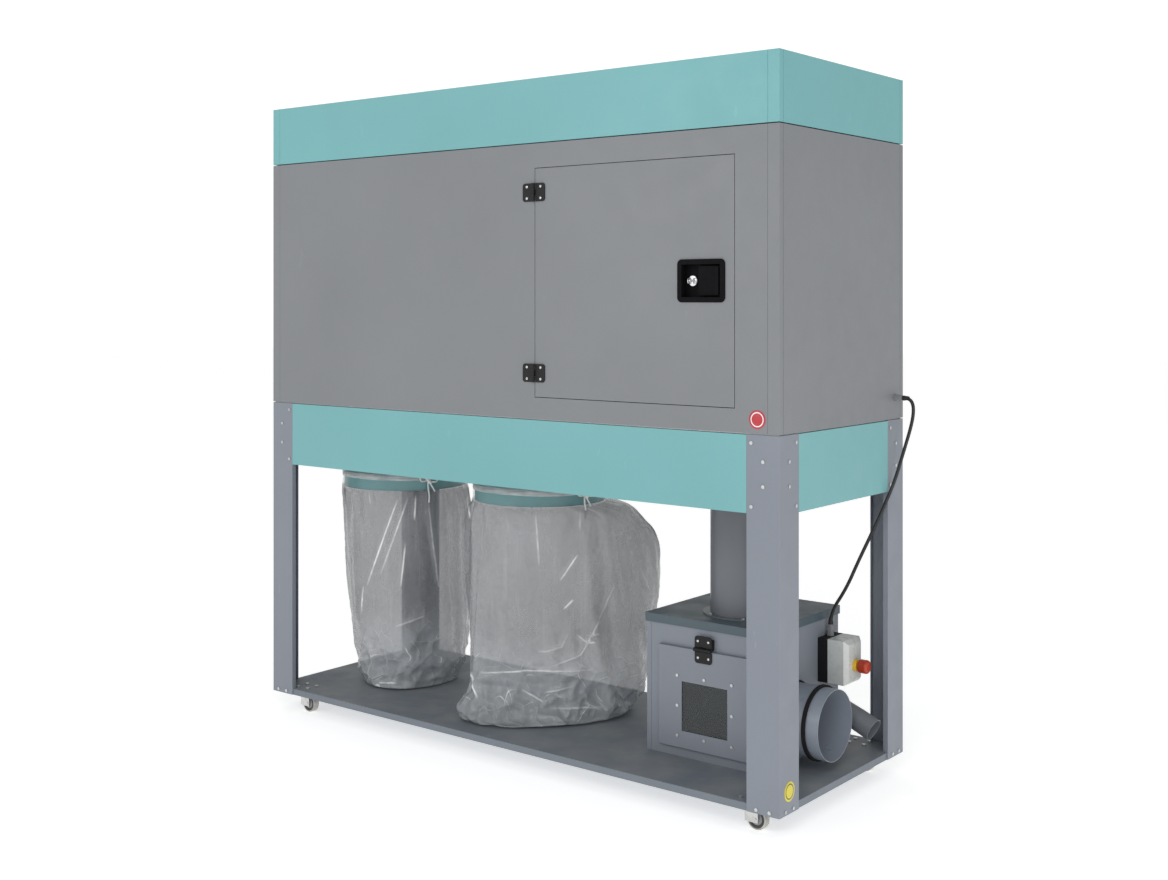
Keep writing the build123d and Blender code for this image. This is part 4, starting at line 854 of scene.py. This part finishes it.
for bag_side in ("left", "right"):
    bag(bag_side)


# ------------------------------------------------------------------------------------------
# Bag straps, each with a tied tail
# ------------------------------------------------------------------------------------------
def tube(name, points, radius):
    """A round cord through points, for small ties."""
    curve = bpy.data.curves.new(name, "CURVE")
    curve.dimensions = "3D"
    curve.bevel_depth = radius
    curve.bevel_resolution = 3
    line = curve.splines.new("NURBS")
    line.points.add(len(points) - 1)
    for spot, place in zip(line.points, points):
        spot.co = (*place, 1)
    line.order_u = 3
    line.use_endpoint_u = True
    holder = bpy.data.objects.new(name + "_line", curve)
    scene.collection.objects.link(holder)
    mesh = bpy.data.meshes.new_from_object(holder.evaluated_get(bpy.context.evaluated_depsgraph_get()))
    bpy.data.objects.remove(holder, do_unlink=True)
    return smooth(add(name, mesh))


# height and radius of the band's section, outside then inside
STRAP_PROFILE = (
    (0.797, 0.2174), (0.7985, 0.2190), (0.807, 0.2196), (0.8155, 0.2190),
    (0.817, 0.2174), (0.807, 0.2170), (0.797, 0.2174),
)


def strap(side, knot_degrees):
    middle = COLLARS[side]
    rows = []
    for height, radius in STRAP_PROFILE:
        rows.append([
            middle + Vector((
                (radius + 0.0004 * math.sin(40 * a)) * math.cos(a),
                (radius + 0.0004 * math.sin(40 * a)) * math.sin(a),
                height + 0.0015 * math.sin(3 * a),
            ))
            for a in (2 * math.pi * k / 160 for k in range(160))
        ])
    band = smooth(add(f"strap_{side}", grid_mesh(f"strap_{side}", rows, True)), 50)
    finished(band, strap_look)
    a = math.radians(knot_degrees)
    out, round_it = Vector((math.cos(a), math.sin(a), 0)), Vector((-math.sin(a), math.cos(a), 0))
    knot_centre = middle + out * 0.224 + Vector((0, 0, 0.797))
    up = Vector((0, 0, 1))
    loops = (
        [(0, 0, 0), (-0.020, 0.006, 0.016), (-0.034, 0.008, 0.010), (-0.026, 0.010, -0.006), (0, 0.004, 0)],
        [(0, 0, 0), (0.018, 0.008, 0.018), (0.034, 0.010, 0.006), (0.022, 0.012, -0.010), (0, 0.004, 0)],
        [(0, 0.002, 0), (-0.004, 0.006, -0.022), (0.004, 0.004, -0.050), (0.002, 0.003, -0.075)],
        [(0, 0.002, 0), (0.010, 0.008, -0.018), (0.022, 0.006, -0.038)],
        [(-0.007, 0.006, 0.006), (0.0, 0.010, -0.001), (0.007, 0.006, -0.008)],
    )
    meshes = []
    for index, loop in enumerate(loops):
        points = [knot_centre + round_it * p[0] + out * p[1] + up * p[2] for p in loop]
        meshes.append(tube(f"knot_{side}_{index}", points, 0.0028 if index < 4 else 0.006))
    work = bmesh.new()
    for piece in meshes:
        work.from_mesh(piece.data)
        bpy.data.objects.remove(piece, do_unlink=True)
    mesh = bpy.data.meshes.new(f"strap_knot_{side}")
    work.to_mesh(mesh)
    work.free()
    knot = smooth(add(f"strap_knot_{side}", mesh))
    finished(knot, tie_look)
    return band


strap_left = strap("left", -25)
strap_right = strap("right", -12)
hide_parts("bag_straps")
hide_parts("bag_straps")


# ------------------------------------------------------------------------------------------
# Small hardware
# ------------------------------------------------------------------------------------------
def disc_label(name, centre, normal, radius, colours):
    """A blank round sticker: a coloured disc with a plain ring, standing a hair off its face."""
    profile = ((0, radius), (0.0004, radius), (0.0006, radius * 0.985), (0.0006, 0.0005))
    thing = turned(name, profile, centre, normal, 48)
    look = Look(name + "_print", colours[0], 0.35)
    generated = look.add("ShaderNodeTexCoord").outputs["Generated"]
    flat = [k for k in range(3) if abs(normal[k]) < 0.5]
    u = look.math("SUBTRACT", look.axis(flat[0], generated), 0.5)
    v = look.math("SUBTRACT", look.axis(flat[1], generated), 0.5)
    away = look.math("SQRT", look.math("ADD", look.math("MULTIPLY", u, u), look.math("MULTIPLY", v, v)))
    ring = look.math("MULTIPLY", look.span(away, 0.33, 0.345), look.span(away, 0.405, 0.39))
    worn = look.mix(look.span(look.noise(80, 5), 0.4, 0.75, 0, 0.25), look.colour, look.tint(0.75))
    shade = look.mix(ring, worn, (*colours[1], 1))
    look.bump(look.noise(200, 3), 0.0002, 0.2)
    return finished(thing, look.done(shade))


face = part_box("cabinet_front")[0].y
RED_PRINT = ((0.50, 0.035, 0.05), (0.85, 0.85, 0.85))
YELLOW_PRINT = ((0.72, 0.62, 0.05), (0.08, 0.08, 0.05))
disc_label("sticker_red", (0.938, face - 0.0001, 1.095), (0, -1, 0), 0.025, RED_PRINT)
disc_label("sticker_yellow", (1.0051, -0.303, 0.121), (1, 0, 0), 0.026, YELLOW_PRINT)


def screw_heads(name, places, normal, radius, height, body="root"):
    """Low domed screw heads with a recess, as one object."""
    profile = [(0, radius), (height * 0.35, radius), (height * 0.75, radius * 0.86), (height, radius * 0.58)]
    profile += [(height * 0.98, radius * 0.42), (height * 0.45, radius * 0.36), (height * 0.42, 0.0002)]
    work = bmesh.new()
    for index, place in enumerate(places):
        head = turned(f"{name}_{index}", profile, place, normal, 20)
        work.from_mesh(head.data)
        bpy.data.objects.remove(head, do_unlink=True)
    mesh = bpy.data.meshes.new(name)
    work.to_mesh(mesh)
    work.free()
    return finished(smooth(add(name, mesh), 38), zinc_look, body)


DOOR_PIN = 0.173
DOOR_HINGE_HEIGHTS = (1.193, 1.725)
FLAP_PIN = (0.633, 0.406)
leaf_face = face - 0.003 + 0.0001
for group, way, body in (("fixed", -1, "root"), ("door", 1, "access_door")):
    spots = [
        (DOOR_PIN + way * 0.026, leaf_face, z + dz)
        for z in DOOR_HINGE_HEIGHTS
        for dz in (-0.017, 0.017)
    ]
    screw_heads(f"hinge_screws_{group}", spots, (0, -1, 0), 0.0042, 0.0018, body)
flap_leaf_face = -0.1503 + 0.0001
for group, way, body in (("box", 1, "root"), ("flap", -1, "separator_flap")):
    spots = [(FLAP_PIN[0] + dx, flap_leaf_face, FLAP_PIN[1] + way * 0.024) for dx in (-0.018, 0.018)]
    screw_heads(f"hinge_screws_{group}", spots, (0, -1, 0), 0.0040, 0.0017, body)

stub_direction = Vector((math.cos(math.radians(24)), 0, -math.sin(math.radians(24))))
stub_start = Vector((0.800, 0.200, 0.247))
rivet_out = Vector((0, -1, 0))
screw_heads("stub_rivet", [stub_start + stub_direction * 0.085 + rivet_out * 0.0285], rivet_out, 0.004, 0.002)
